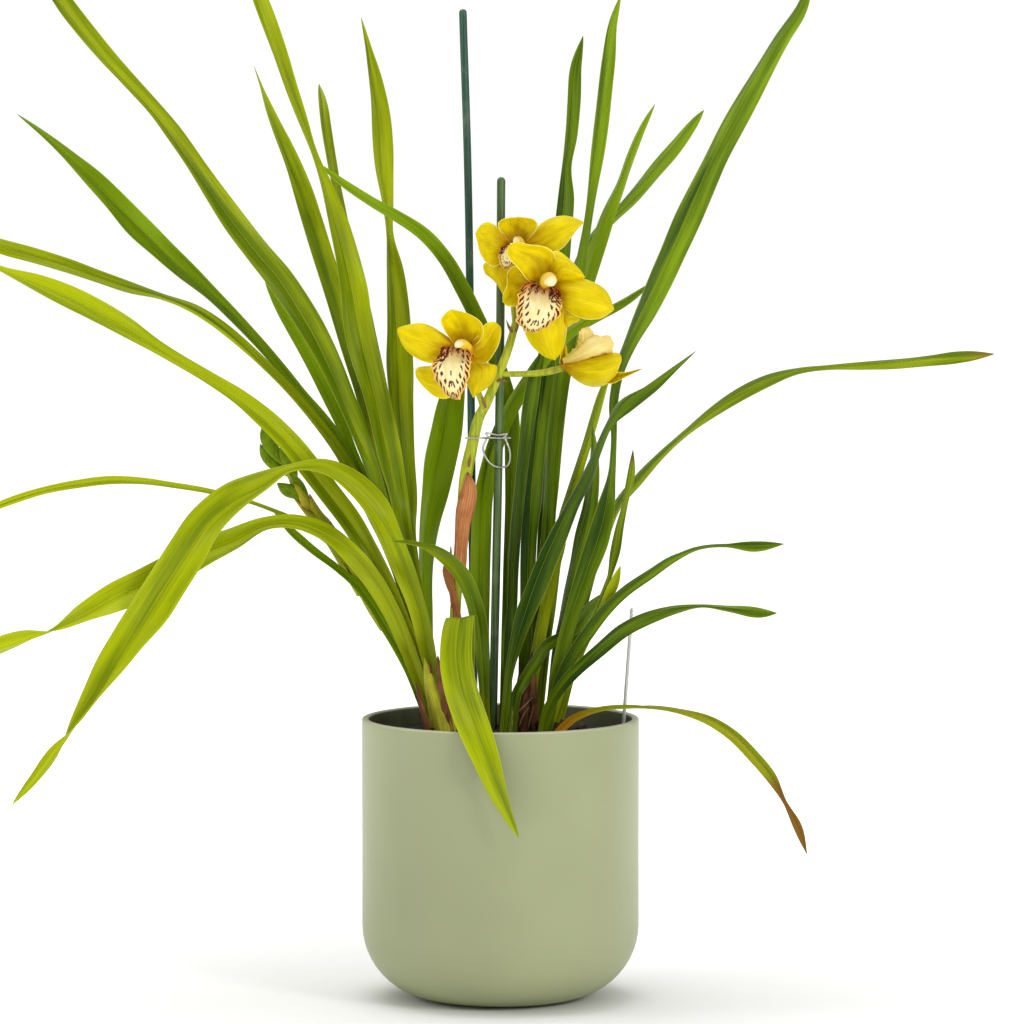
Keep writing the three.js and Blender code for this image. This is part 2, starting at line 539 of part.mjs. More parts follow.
const STEM_RUN = [[516, 322, -6], [508, 350, -8], [497, 378, -9], [487, 402, -9],
  [478, 420, -5], [471, 450, -5], [466, 475, -4], [462, 520, -3], [459, 560, -2],
  [455, 620, -1], [452, 716, 0]];
const STEM_RADII = [2.3, 2.7, 3, 3.5, 3.9, 3.4, 3.3, 3.3, 3.3, 3.4, 3.6];
const STALKS = [
  { radii: [2.2, 1.8, 1.8, 1.7, 1.6],
    run: [[484, 408, -9], [478, 392, -9], [470, 375, -10], [462, 355, -14], [460, 352, -17.4]] },
  { radii: [2, 1.9, 1.9, 1.8, 1.7],
    run: [[500, 374, -9], [515, 374, -9], [540, 373, -9], [559, 369, -9], [562, 368, -11.4]] },
  { radii: [1.6, 1.6, 1.6, 1.5],
    run: [[514, 330, -6], [528, 306, -14], [546, 295, -20], [549, 294, -23.1]] },
  { radii: [1.6, 1.5, 1.5, 1.5, 1.4],
    run: [[515, 325, -6], [513, 300, -2], [514, 275, -1], [516, 252, -3], [516, 248, -6.4]] },
];

function stemPoints() {
  const points = STEM_RUN.map((p) => fromPicture(...p));
  seatFoot(points, STEM_RADII[STEM_RADII.length - 1]);
  return points;
}

function flowerStem() {
  const pieces = [roundAlong(stemPoints(), STEM_RADII, SIDES.stem, RINGS.stem)];
  for (const stalk of STALKS) {
    const points = stalk.run.map((p) => fromPicture(...p));
    pieces.push(roundAlong(points, stalk.radii, SIDES.stem, RINGS.stalk));
  }
  return part("flower_stem", joined(pieces), greenStem());
}

// The stem made thicker by the gap, to cut out of what wraps it.
function stemSleeve() {
  return roundAlong(stemPoints(), STEM_RADII.map((r) => r + GAP), SIDES.stem, RINGS.stem);
}

function sheath(name, run, radii) {
  const body = roundAlong(run.map((p) => fromPicture(...p)), radii, SIDES.stem, RINGS.sheath);
  return part(name, cutFrom(body, stemSleeve()), papery());
}

const BUDS = [
  { run: [[262, 426, 12], [266, 438, 13], [275, 452, 14], [288, 470, 14]], radius: 4.6 },
  { run: [[260, 444, 20], [266, 455, 19], [276, 466, 17], [290, 478, 14]], radius: 4.2 },
  { run: [[280, 446, 8], [285, 455, 10], [292, 467, 12], [298, 482, 14]], radius: 4.4 },
  { run: [[277, 483, 14], [286, 489, 14], [297, 494, 14], [308, 504, 14]], radius: 4.2 },
  { run: [[287, 473, 16], [294, 480, 15], [301, 489, 14], [311, 503, 14]], radius: 3.6 },
];
const BUD_SPIKE_RADII = [1.4, 2.6, 5, 5, 3.4, 3, 3, 3];
const BUD_SPIKE_RUN = [[284, 466, 14], [297, 488, 14], [314, 514, 17], [336, 542, 27],
  [364, 590, 35], [396, 640, 37], [418, 680, 37], [434, 716, 37]];

function budSpike() {
  const points = BUD_SPIKE_RUN.map((p) => fromPicture(...p));
  seatFoot(points, BUD_SPIKE_RADII[BUD_SPIKE_RADII.length - 1]);
  const pieces = [roundAlong(points, BUD_SPIKE_RADII, SIDES.stem, RINGS.budStem)];
  for (const bud of BUDS) {
    const radii = BUD_SWELL.map((share) => share * bud.radius);
    pieces.push(roundAlong(bud.run.map((p) => fromPicture(...p)), radii, SIDES.stem, RINGS.bud));
  }
  return part("bud_spike", joined(pieces), budGreen());
}

function shootBase(name, run, radii, look) {
  const points = run.map((p) => fromPicture(...p));
  seatFoot(points, radii[radii.length - 1]);
  return part(name, roundAlong(points, radii, SIDES.shootBase, RINGS.shootBase), look);
}

// ---------------------------------------------------------------------------- flowers
// Each flower: its middle; its five petals and sepals as [across, down, depth of the tip,
// width, bulge towards the viewer]; the cap of its column; the lip's run from under the
// column to its end; and the lip's widths along that run.

const FLOWERS = [
  { name: "left", middle: [460, 352, -20],
    tepals: [[397, 332, -22, 19, 6], [503, 334, -20, 17, 7], [458, 308, -24, 21, 6],
      [416, 385, -16, 17, 3], [486, 399, -16, 16, 3]],
    cap: [454, 343, -32], lipWidths: [10, 22, 23],
    lip: [[452, 351, -30], [450, 364, -38], [450, 382, -42], [453, 400, -37]] },
  { name: "front", middle: [549, 294, -26],
    tepals: [[512, 242, -30, 27, 8], [614, 310, -28, 23, 8], [584, 266, -30, 22, 7],
      [505, 308, -24, 19, 3], [556, 360, -22, 25, 3]],
    cap: [553, 284, -39], lipWidths: [12, 27, 27],
    lip: [[548.3, 287.2, -39.6], [542, 300, -47], [539, 316, -49], [539, 329, -44]] },
  { name: "back", middle: [516, 248, -9],
    tepals: [[475, 230, -12, 19, 4], [585, 221, -10, 20, 3], [518, 217, -12, 25, 2],
      [490, 288, -10, 15, 2], [556, 258, -9, 16, 2]],
    cap: [515, 240, -15], lipWidths: [6, 11, 11],
    lip: [[511.6, 245.3, -15], [506, 254, -18], [503, 262, -19], [502, 271, -16]] },
  { name: "side", middle: [563, 368, -14],
    tepals: [[645, 369, -14, 12, 2], [626, 354, -24, 21, 5], [594, 387, -20, 15, 4],
      [594, 330, -16, 15, 2], [618, 376, -26, 13, 3]],
    cap: [574, 364, -19], lipWidths: [8, 14, 13],
    lip: [[576.6, 355.8, -23.6], [590, 341, -29], [601, 338, -29], [612, 343, -27]] },
];

function tepal(middle, [across, down, depth, width, bulge]) {
  const tip = fromPicture(across, down, depth);
  const halfway = middle.clone().lerp(tip, 0.5);
  halfway.y -= bulge;
  const curve = new THREE.CatmullRomCurve3([middle, halfway, tip], false, "centripetal");
  const half = (t, u) => {
    const swell = Math.sin(Math.PI * Math.pow(u, TEPAL.fullAt));
    return u === 1 || u === 0 ? 0 : (width / 2) * Math.pow(swell, TEPAL.edge);
  };
  return blade(curve, half, () => 0, TEPAL);
}

function column(middle, cap) {
  const start = middle.clone();
  start.y += COLUMN.behind;
  const halfway = middle.clone().lerp(cap, 0.5);
  return roundAlong([start, halfway, cap], COLUMN.radii, SIDES.stem, RINGS.column);
}

function lipBlade(row) {
  const points = row.lip.map((p) => fromPicture(...p));
  const curve = new THREE.CatmullRomCurve3(points, false, "centripetal");
  const half = (t, u) => {
    const rounded = Math.sqrt(1 - Math.pow(u, LIP.roundness));
    return (rounded * along(row.lipWidths, t)) / 2;
  };
  return blade(curve, half, () => 0, LIP);
}

function flower(row) {
  const middle = fromPicture(...row.middle);
  const pieces = row.tepals.map((tip) => tepal(middle, tip));
  pieces.push(column(middle, fromPicture(...row.cap)));
  return [
    part(`flower_${row.name}`, joined(pieces), petalYellow()),
    part(`lip_${row.name}`, lipBlade(row), lipCream()),
  ];
}

// ---------------------------------------------------------------------------- assembly

const TALL_STAKE_RUN = [[462.8, 9, 26], [469.2, 240, 26], [474, 716, 26]];
const SHORT_STAKE_RUN = [[501.2, 177, -0.5], [499.5, 400, -0.5], [493, 716, -0.5]];
const CLEAR_STAKE_RUN = [[632, 608, 2], [623.6, 722, 2]];
const UPPER_SHEATH_RUN = [[467, 472, -5], [468, 490, -5], [461, 520, -4], [460, 556, -3]];
const LOWER_SHEATH_RUN = [[451, 553, -3], [450, 568, -3], [454, 590, -2], [457, 616, -1]];
const LEFT_BASE_RUN = [[424, 657, -14], [430, 680, -16], [439, 706, -17], [444, 728, -17]];
const RIGHT_BASE_RUN = [[531, 655, 0], [529, 680, 0], [525, 706, 0], [523, 728, 0]];
const UPPER_SHEATH_RADII = [1, 6, 5, 3.8];
const LOWER_SHEATH_RADII = [0, 5, 5.4, 4.4];
const LEFT_BASE_RADII = [0, 5.5, 8, 7];
const RIGHT_BASE_RADII = [0, 4.5, 7, 6.5];

function orchid() {
  const group = new THREE.Group();
  group.add(planter(), innerPot(), medium());
  group.add(stake("stake_tall", TALL_STAKE_RUN, STAKES.tallRadius, stakeGreen()));
  group.add(stake("stake_short", SHORT_STAKE_RUN, STAKES.shortRadius, stakeLightGreen()));
  group.add(stake("stake_clear", CLEAR_STAKE_RUN, STAKES.clearRadius, clearPlastic()));
  group.add(wireClip(), flowerStem());
  group.add(sheath("sheath_upper", UPPER_SHEATH_RUN, UPPER_SHEATH_RADII));
  group.add(sheath("sheath_lower", LOWER_SHEATH_RUN, LOWER_SHEATH_RADII));
  group.add(budSpike());
  group.add(shootBase("shoot_base_left", LEFT_BASE_RUN, LEFT_BASE_RADII, greenStem()));
  group.add(shootBase("shoot_base_right", RIGHT_BASE_RUN, RIGHT_BASE_RADII, papery()));
  for (const row of LEAVES) {
    group.add(leaf(row));
  }
  for (const row of FLOWERS) {
    group.add(...flower(row));
  }
  return group;
}

export default orchid();
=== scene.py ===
# %% [markdown]
# # A potted orchid
# The object is a young orchid in a round planter: fans of strap leaves, a stem with four
# yellow flowers held to a green stake by a wire, and a second spike still in bud. Its solid
# model is loaded first as a frame. Every piece made here stands where that frame says, and
# adds the surface that a solid of a few thousand faces can't carry.

import json
import math

import bmesh
import bpy
import numpy as np
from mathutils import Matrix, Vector


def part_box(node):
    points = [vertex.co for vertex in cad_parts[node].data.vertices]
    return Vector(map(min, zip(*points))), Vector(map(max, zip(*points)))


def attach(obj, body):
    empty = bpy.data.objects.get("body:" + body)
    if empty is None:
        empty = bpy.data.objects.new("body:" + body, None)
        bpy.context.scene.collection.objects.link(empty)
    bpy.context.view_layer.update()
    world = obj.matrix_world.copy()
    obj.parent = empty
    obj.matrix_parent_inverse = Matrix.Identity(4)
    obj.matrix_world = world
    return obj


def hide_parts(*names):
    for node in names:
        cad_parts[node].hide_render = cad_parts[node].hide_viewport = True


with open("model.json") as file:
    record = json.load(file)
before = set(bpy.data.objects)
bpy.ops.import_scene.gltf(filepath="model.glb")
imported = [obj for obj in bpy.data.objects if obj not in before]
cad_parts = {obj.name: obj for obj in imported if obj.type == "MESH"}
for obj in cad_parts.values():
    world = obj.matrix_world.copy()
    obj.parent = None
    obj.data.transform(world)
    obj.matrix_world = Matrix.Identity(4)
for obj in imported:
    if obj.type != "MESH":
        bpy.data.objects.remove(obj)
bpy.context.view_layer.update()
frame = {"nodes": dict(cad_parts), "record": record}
MM = 0.001
TURN = 2 * np.pi
print("nodes in the frame:", len(frame["nodes"]))

# %% [markdown]
# ## The view
# The plant was photographed from three metres in front, a little above the flowers' height
# and tipped down by about four degrees, with a long lens. The camera is set up the same way,
# so a point of the plant can also be named by where it shows: [across, down] in a picture
# 1024 units wide, and a depth in millimetres that is negative towards the viewer.

# %% Camera
VIEW = {"away": 3.0, "height": 0.502, "sideways": 0.0071, "tilt": 0.0678, "focal": 4915,
        "middle": 512, "sensor_mm": 36, "reach": 100}


def from_picture(rows):
    """Points in metres for rows of [across, down, depth in mm]: the line of sight through
    that place in the picture, followed until it reaches that depth."""
    across, down, depth = np.asarray(rows, float).T
    rise = (VIEW["middle"] - down) / VIEW["focal"]
    right = (across - VIEW["middle"]) / VIEW["focal"]
    forward = math.cos(VIEW["tilt"]) + rise * math.sin(VIEW["tilt"])
    upward = rise * math.cos(VIEW["tilt"]) - math.sin(VIEW["tilt"])
    reach = (depth * MM + VIEW["away"]) / forward
    return np.stack([VIEW["sideways"] + reach * right, depth * MM,
                     VIEW["height"] + reach * upward], -1)


def make_camera():
    lens = bpy.data.cameras.new("camera")
    lens.sensor_width = VIEW["sensor_mm"]
    lens.lens = VIEW["sensor_mm"] * VIEW["focal"] / (2 * VIEW["middle"])
    lens.clip_end = VIEW["reach"]
    camera = bpy.data.objects.new("camera", lens)
    camera.location = (VIEW["sideways"], -VIEW["away"], VIEW["height"])
    camera.rotation_euler = (math.pi / 2 - VIEW["tilt"], 0, 0)
    bpy.context.scene.collection.objects.link(camera)
    bpy.context.scene.camera = camera
    print("lens", round(lens.lens, 1), "mm")


make_camera()

# %% [markdown]
# ## Materials as expressions
# A finish is a network of nodes. Written one by one the nodes hide the idea, so a number on
# its way through the network is wrapped in a small class: adding or multiplying two of them
# adds the Math node, and a pattern reads like a formula.

# %% Numbers and finishes
class Number:
    """A number that varies over a surface. Python's operators on it add Math nodes."""

    def __init__(self, finish, socket):
        self.finish = finish
        self.socket = socket

    def math(self, operation, *others, swap=False):
        values = [self, *others]
        if swap:
            values.reverse()
        sockets = {i: value for i, value in enumerate(values)}
        made = self.finish.node("ShaderNodeMath", {"operation": operation}, sockets)
        return Number(self.finish, made.outputs[0])

    def __add__(self, other):
        return self.math("ADD", other)

    def __radd__(self, other):
        return self.math("ADD", other, swap=True)

    def __sub__(self, other):
        return self.math("SUBTRACT", other)

    def __rsub__(self, other):
        return self.math("SUBTRACT", other, swap=True)

    def __mul__(self, other):
        return self.math("MULTIPLY", other)

    def __rmul__(self, other):
        return self.math("MULTIPLY", other, swap=True)

    def __truediv__(self, other):
        return self.math("DIVIDE", other)

    def __pow__(self, other):
        return self.math("POWER", other)

    def size(self):
        return self.math("ABSOLUTE")

    def sine(self):
        return self.math("SINE")

    def stripes(self):
        """Soft stripes between 0 and 1, one for each turn that the number grows by."""
        return self.sine() * 0.5 + 0.5

    def step(self, low, high):
        """0 below low, 1 above high, and a smooth rise between them. With low above high
        it falls instead."""
        made = self.finish.node("ShaderNodeMapRange", {"interpolation_type": "SMOOTHSTEP"},
                                {"Value": self, "From Min": low, "From Max": high})
        return Number(self.finish, made.outputs["Result"])


MIX_INPUTS = (0, 6, 7)
MIX_RESULT = 2


class Finish:
    """One material: constants go on its shader's sockets, patterns are linked to them."""

    def __init__(self, name, **constants):
        self.material = bpy.data.materials.new(name)
        self.material.use_nodes = True
        self.tree = self.material.node_tree
        self.shader = self.tree.nodes["Principled BSDF"]
        for socket, value in constants.items():
            self.shader.inputs[socket.replace("_", " ")].default_value = value

    def node(self, kind, settings=None, sockets=None):
        """Adds a node: its settings first, then a value or a link for each named socket."""
        made = self.tree.nodes.new(kind)
        for name, value in (settings or {}).items():
            setattr(made, name, value)
        for name, value in (sockets or {}).items():
            self.give(made.inputs[name], value)
        return made

    def give(self, socket, value):
        if isinstance(value, Number):
            value = value.socket
        if isinstance(value, bpy.types.NodeSocket):
            self.tree.links.new(value, socket)
        elif hasattr(value, "__len__") and len(value) == 3 and socket.type == "RGBA":
            socket.default_value = (*value, 1)
        else:
            socket.default_value = value

    def attribute(self, name):
        """The three parts of a vector kept on the piece's points."""
        read = self.node("ShaderNodeAttribute", {"attribute_name": name})
        parts = self.node("ShaderNodeSeparateXYZ", {}, {0: read.outputs["Vector"]})
        return [Number(self, parts.outputs[i]) for i in range(3)]

    def vector(self, x=0, y=0, z=0):
        return self.node("ShaderNodeCombineXYZ", {}, {0: x, 1: y, 2: z}).outputs[0]

    def object_place(self):
        return self.node("ShaderNodeTexCoord").outputs["Object"]

    def place_parts(self):
        parts = self.node("ShaderNodeSeparateXYZ", {}, {0: self.object_place()})
        return [Number(self, parts.outputs[i]) for i in range(3)]

    def noise(self, where, scale, detail=3.0, roughness=0.5):
        made = self.node("ShaderNodeTexNoise", {}, {
            "Vector": where, "Scale": scale, "Detail": detail, "Roughness": roughness})
        return Number(self, made.outputs[0])

    def mix(self, share, first, second):
        """first where share is 0, second where it is 1."""
        sockets = dict(zip(MIX_INPUTS, (share, first, second)))
        made = self.node("ShaderNodeMix", {"data_type": "RGBA"}, sockets)
        return made.outputs[MIX_RESULT]

    def show(self, colour, roughness=None, height=None, depth=0.0002):
        """Connects the colour, and where given the roughness and a height for the bump."""
        self.give(self.shader.inputs["Base Color"], colour)
        if roughness is not None:
            self.give(self.shader.inputs["Roughness"], roughness)
        if height is not None:
            bump = self.node("ShaderNodeBump", {}, {"Distance": depth, "Height": height})
            self.give(self.shader.inputs["Normal"], bump.outputs[0])
        return self.material


SCREEN = {"whole": 255, "knee": 0.04045, "offset": 0.055, "power": 2.4, "slope": 12.92}


def srgb(red, green, blue):
    """A colour as it is read off a screen, 0 to 255, turned into light: nearly the share to
    the power 2.4, and a straight line for the darkest."""
    shares = np.array([red, green, blue]) / SCREEN["whole"]
    curved = ((shares + SCREEN["offset"]) / (1 + SCREEN["offset"])) ** SCREEN["power"]
    light = np.where(shares > SCREEN["knee"], curved, shares / SCREEN["slope"])
    return tuple(float(part) for part in light)


# %% [markdown]
# ## Surfaces from grids
# Nearly everything on a plant is a strip or a tube: rows of points along it, columns across
# or around it. One function turns such a grid into a mesh. The grid closes on itself round
# its columns, and its two ends are closed by a fan to their middle.

# %% Grid to mesh
def with_ends(values):
    """The values of all rows as one list, then the mean of the first row and of the last."""
    return np.concatenate([values.reshape(-1, 3), [values[0].mean(0)], [values[-1].mean(0)]])


def skin(name, grid, attributes=None):
    """A closed piece from rows of rings (rows, columns, 3). Each ring joins on itself, and
    each end is closed by a fan to its middle. attributes are vectors (rows, columns, 3)
    kept on the points for the materials."""
    rows, columns = grid.shape[:2]
    index = np.arange(rows * columns).reshape(rows, columns)
    after = np.roll(index, -1, axis=1)
    quads = np.stack([index[:-1], after[:-1], after[1:], index[1:]], -1).reshape(-1, 4)
    first_fan = np.stack([after[0], index[0], np.full(columns, index.size)], -1)
    last_fan = np.stack([index[-1], after[-1], np.full(columns, index.size + 1)], -1)
    mesh = bpy.data.meshes.new(name)
    mesh.from_pydata(with_ends(grid).tolist(), [],
                     quads.tolist() + first_fan.tolist() + last_fan.tolist())
    for label, values in (attributes or {}).items():
        kept = mesh.attributes.new(label, "FLOAT_VECTOR", "POINT")
        kept.data.foreach_set("vector", with_ends(values).astype(np.float32).ravel())
    return outward(mesh)


def outward(mesh):
    """Turns the faces over where the mesh came out inside out, by the sign of its volume."""
    mesh.calc_loop_triangles()
    corners = np.zeros(len(mesh.loop_triangles) * 3, int)
    mesh.loop_triangles.foreach_get("vertices", corners)
    points = np.zeros(len(mesh.vertices) * 3)
    mesh.vertices.foreach_get("co", points)
    a, b, c = points.reshape(-1, 3)[corners.reshape(-1, 3)].transpose(1, 0, 2)
    if np.einsum("ij,ij->i", a, np.cross(b, c)).sum() < 0:
        mesh.flip_normals()
    mesh.polygons.foreach_set("use_smooth", [True] * len(mesh.polygons))
    mesh.update()
    return mesh


def joined(name, meshes):
    """Several meshes as one, with the attributes they share."""
    whole = bmesh.new()
    for mesh in meshes:
        whole.from_mesh(mesh)
    result = bpy.data.meshes.new(name)
    whole.to_mesh(result)
    whole.free()
    result.polygons.foreach_set("use_smooth", [True] * len(result.polygons))
    return result


def piece(name, mesh, material, slot, *nodes):
    """Places a finished mesh in the scene, riding on the one body, for the nodes it
    replaces. slot, the slot of the record it takes its finish from, is not used."""
    made = bpy.data.objects.new(name, mesh)
    made.data.materials.append(material)
    bpy.context.scene.collection.objects.link(made)
    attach(made, "root")
    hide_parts(*nodes)
    print(name, "faces", len(mesh.polygons))
    return made


def smooth(rows, per_span):
    """A smooth line through rows of values: between each two rows a cubic that leaves and
    arrives along the line from the row before to the row after."""
    rows = np.asarray(rows, float)
    before = np.concatenate([2 * rows[:1] - rows[1:2], rows[:-1]])
    after = np.concatenate([rows[1:], 2 * rows[-1:] - rows[-2:-1]])
    slope = (after - before) / 2
    place = np.arange((len(rows) - 1) * per_span + 1) / per_span
    i = np.minimum(place.astype(int), len(rows) - 2)
    t = (place - i).reshape(-1, *[1] * (rows.ndim - 1))
    return (rows[i] * (2 * t**3 - 3 * t**2 + 1) + slope[i] * (t**3 - 2 * t**2 + t)
            + rows[i + 1] * (3 * t**2 - 2 * t**3) + slope[i + 1] * (t**3 - t**2))


TINY = 1e-12


def unit(vectors):
    length = np.linalg.norm(vectors, axis=-1, keepdims=True)
    return vectors / np.maximum(length, TINY)


def run_along(points):
    """The distance walked along a line of points, from its first."""
    steps = np.linalg.norm(np.diff(points, axis=0), axis=-1)
    return np.concatenate([[0], np.cumsum(steps)])


NEVER_ALONG = [0.1, -1, 0.05]


def frames(points):
    """At each point of a line two directions square to it and to each other, carried along
    from the first so that they don't spin. No line here sets out along NEVER_ALONG, so it
    can give the first one."""
    forward = unit(np.gradient(points, axis=0))
    start = np.cross(forward[0], NEVER_ALONG)
    sides = [unit(start)]
    for direction in forward[1:]:
        sides.append(unit(sides[-1] - direction * np.dot(sides[-1], direction)))
    side = np.array(sides)
    return side, np.cross(forward, side)


def tube(points, radii, around, pattern=None):
    """Rings round a line: centre + radius * (cos a * side + sin a * up). pattern may add a
    share to the radius, as a function of the share along and of the angle."""
    side, up = frames(points)
    angle = np.linspace(0, TURN, around, endpoint=False)
    share = run_along(points) / run_along(points)[-1]
    radius = np.broadcast_to(np.asarray(radii, float)[:, None], (len(points), around))
    if pattern is not None:
        radius = radius * (1 + pattern(share[:, None], angle[None, :]))
    rim = (np.cos(angle)[None, :, None] * side[:, None]
           + np.sin(angle)[None, :, None] * up[:, None])
    return points[:, None] + radius[..., None] * rim


def tube_attributes(points, around):
    """For a tube's points: share along, angle round, and metres along."""
    run = run_along(points)
    angle = np.linspace(0, TURN, around, endpoint=False)
    values = np.zeros((len(points), around, 3))
    values[..., 0] = (run / run[-1])[:, None]
    values[..., 1] = angle[None, :]
    values[..., 2] = run[:, None]
    return values


# %% [markdown]
# ## The planter
# A matt glazed cylinder with a generous round foot and a soft lip. It is a profile turned
# round an axis, so it is made as one: straight wall, quarter-round foot, flat bottom. The
# solid in the frame has the same profile with fewer sides; this one is fine enough for its
# rim to look round. Its colour is a grey sage with the faintest cloudiness of a spray coat.
# Inside it carries painted shade, and along its lip runs a paler line of painted highlight.

# %% Planter
planter_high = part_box("pot")[1]
PLANTER = {"radius": planter_high.x, "height": planter_high.z, "wall": 0.0043, "floor": 0.006,
           "foot": 0.045, "lip": 0.0012}
COUNTS = {"around": 192, "corner": 14, "lip": 7, "flat": 8, "wall": 30}


def quarter(centre_r, centre_z, radius, start, count=COUNTS["corner"]):
    """A quarter circle of the profile, anticlockwise from the angle start."""
    angle = start + np.linspace(0, np.pi / 2, count)
    return np.stack([centre_r + radius * np.cos(angle), centre_z + radius * np.sin(angle)], -1)


def straight(start, end, count):
    return np.linspace(start, end, count + 2)[1:-1]


def turned(profile, around=COUNTS["around"]):
    """The profile (radius, height) turned round the upright axis."""
    angle = np.linspace(0, TURN, around, endpoint=False)
    radius, height = profile.T
    return np.stack([radius[:, None] * np.cos(angle), radius[:, None] * np.sin(angle),
                     np.broadcast_to(height[:, None], (len(profile), around))], -1)


def planter_profile():
    """The outer half, from the middle of the foot up to the lip's crest, and the inner half
    from there down to the middle of the floor."""
    p, count = PLANTER, COUNTS
    inner = p["radius"] - p["wall"]
    corner = p["radius"] - p["foot"]
    lip = p["lip"]
    top = p["height"]
    outside = quarter(corner, p["foot"], p["foot"], -np.pi / 2)
    inside = quarter(corner, p["foot"], p["foot"] - p["wall"], -np.pi / 2)[::-1]
    inside[:, 1] += p["floor"] - p["wall"]
    lip_out = quarter(p["radius"] - lip, top - lip, lip, 0, count["lip"])
    lip_in = quarter(inner + lip, top - lip, lip, np.pi / 2, count["lip"])
    outer = [straight((0, 0), (corner, 0), count["flat"]), outside,
             straight(outside[-1], lip_out[0], count["wall"]), lip_out]
    within = [lip_in, straight(lip_in[-1], inside[0], count["wall"]), inside,
              straight(inside[-1], (0, p["floor"]), count["flat"])]
    return np.concatenate(outer), np.concatenate(within)


def planter_mesh():
    """The profile turned, with a value kept on its points: 0 outside and 1 within, where the
    finish paints shade.
    """
    outer, within = planter_profile()
    grid = turned(np.concatenate([outer, within]))
    side = np.zeros_like(grid)
    side[len(outer):, :, 0] = 1
    return skin("planter", grid, {"side": side})


# The within colour is painted shade inside the planter, and the thin colour is a painted
# highlight along its lip.
GLAZE = {"low": srgb(154, 160, 117), "high": srgb(163, 169, 126), "within": srgb(96, 100, 70),
         "thin": srgb(200, 202, 172), "lip_highlight_share": 0.6, "clouds": 9, "grains": 900,
         "clouded": (0.3, 0.7), "lip_highlight_starts": 0.0014, "lip_highlight_ends": 0.0004, "gloss": 0.38,
         "dulled": 0.08, "grain_height": 0.5, "cloud_height": 2, "bump": 0.00008}


def sage_glaze():
    """Two sages in soft clouds, with painted shade within and a painted highlight along the
    lip.
    """
    g = GLAZE
    f = Finish("sage_glaze", IOR=1.6)
    height = f.place_parts()[2]
    within = f.attribute("side")[0]
    cloud = f.noise(f.object_place(), g["clouds"], 2)
    grain = f.noise(f.object_place(), g["grains"], 2)
    colour = f.mix(cloud.step(*g["clouded"]), g["low"], g["high"])
    # Painted highlight: a paler band along the top of the lip.
    lip = height.step(PLANTER["height"] - g["lip_highlight_starts"], PLANTER["height"] - g["lip_highlight_ends"])
    # Painted shade: the inside of the planter is darkened.
    colour = f.mix(within, colour, g["within"])
    colour = f.mix(lip * g["lip_highlight_share"], colour, g["thin"])
    return f.show(colour, g["gloss"] + g["dulled"] * cloud,
                  grain * g["grain_height"] + cloud * g["cloud_height"], g["bump"])


piece("planter", planter_mesh(), sage_glaze(), "pot", "pot")

# %% [markdown]
# ## The growing pot
# Inside the planter stands the black plastic pot the plant grew up in. Its rim is a thin
# rolled edge. Like the planter it is a profile turned round an axis, and only its rim shows.

# %% Growing pot
inner_low, inner_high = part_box("nursery_pot")
INNER = {"top": inner_high.z, "radius": inner_high.x, "wall": 0.0012, "foot": inner_low.z,
         "foot_radius": 0.039, "shoulder": (0.058, 0.017), "waist": (0.072, 0.042),
         "axis": 0.0005, "rim": 0.007, "round": 0.001, "edge": 0.0004, "around": 144}


def growing_pot_profile():
    """Up the outside, out and over the rim, and down the inside one wall further in."""
    i = INNER
    wall, top, radius = i["wall"], i["top"], i["radius"]
    under_rim = top - i["rim"] - i["round"]
    outside = np.array([(i["axis"], i["foot"]), (i["foot_radius"], i["foot"]), i["shoulder"],
                        i["waist"], (radius - wall, under_rim)])
    rim = np.array([(radius, top - i["rim"]), (radius, top - i["round"]),
                    (radius - wall / 2, top)])
    inside = (outside - [wall, -wall])[::-1]
    inside[-1, 0] = i["axis"]
    inside[0] = (radius - 2 * wall, under_rim - i["round"])
    back = np.array([(radius - 1.7 * wall, top - i["edge"])])
    return np.concatenate([outside, rim, back, inside])


PLASTIC = {"clean": srgb(16, 16, 14), "dusty": srgb(48, 46, 38), "dust": 60, "grain": 400,
           "settled": (0.45, 0.75), "dust_share": 0.4, "gloss": 0.35, "dulled": 0.25,
           "bump": 0.0001}


def black_plastic():
    """Black plastic with patches of pale dust, which dull it."""
    p = PLASTIC
    f = Finish("black_plastic")
    dust = f.noise(f.object_place(), p["dust"], 4).step(*p["settled"])
    colour = f.mix(dust * p["dust_share"], p["clean"], p["dusty"])
    return f.show(colour, p["gloss"] + p["dulled"] * dust,
                  f.noise(f.object_place(), p["grain"], 2), p["bump"])


piece("growing_pot", skin("growing_pot", turned(growing_pot_profile(), INNER["around"])),
      black_plastic(), "nursery_pot", "nursery_pot")

# %% [markdown]
# ## The bark
# The pot holds coarse bark: a lumpy bed with loose chips on it. The bed is a disc whose
# height follows a few waves, and each chip is a small flattened block with worn corners, of
# some eighty faces, scattered with a fixed seed. A particle system would scatter them too,
# but here each chip lies at the bed's own height.

# %% Bark
bark_low, bark_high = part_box("growing_medium")
BED = {"radius": 0.0765, "crown": bark_high.z, "edge": 0.1567, "rings": 60, "around": 160,
       "axis": 0.001, "lump": 0.0006, "lowered": 0.0012,
       "below": [(0.0705, 0.0425), (0.0565, 0.0185), (0.037, bark_low.z), (0.001, bark_low.z)]}
CHIPS = {"count": 520, "length": 0.011, "seed": 7, "rows": 7, "columns": 10, "lift": 1.35,
         "square": 4, "rough": 0.22, "worn": (0.6, 1.5), "lengths": (0.3, 1.0),
         "half": 0.5, "widths": (0.25, 0.42), "heights": (0.1, 0.2), "lean": 0.45,
         "clear": 0.006, "heaped": 5, "spread": 0.002}
HEAP = [(0.031, -0.006, 0.160, 2.0), (0.032, -0.004, 0.1635, 1.8), (0.031, -0.008, 0.167, 1.6),
        (0.0325, -0.007, 0.1695, 1.4), (0.031, -0.006, 0.172, 0.9),
        (-0.052, -0.02, 0.160, 1.4), (0.05, 0.03, 0.158, 1.4)]


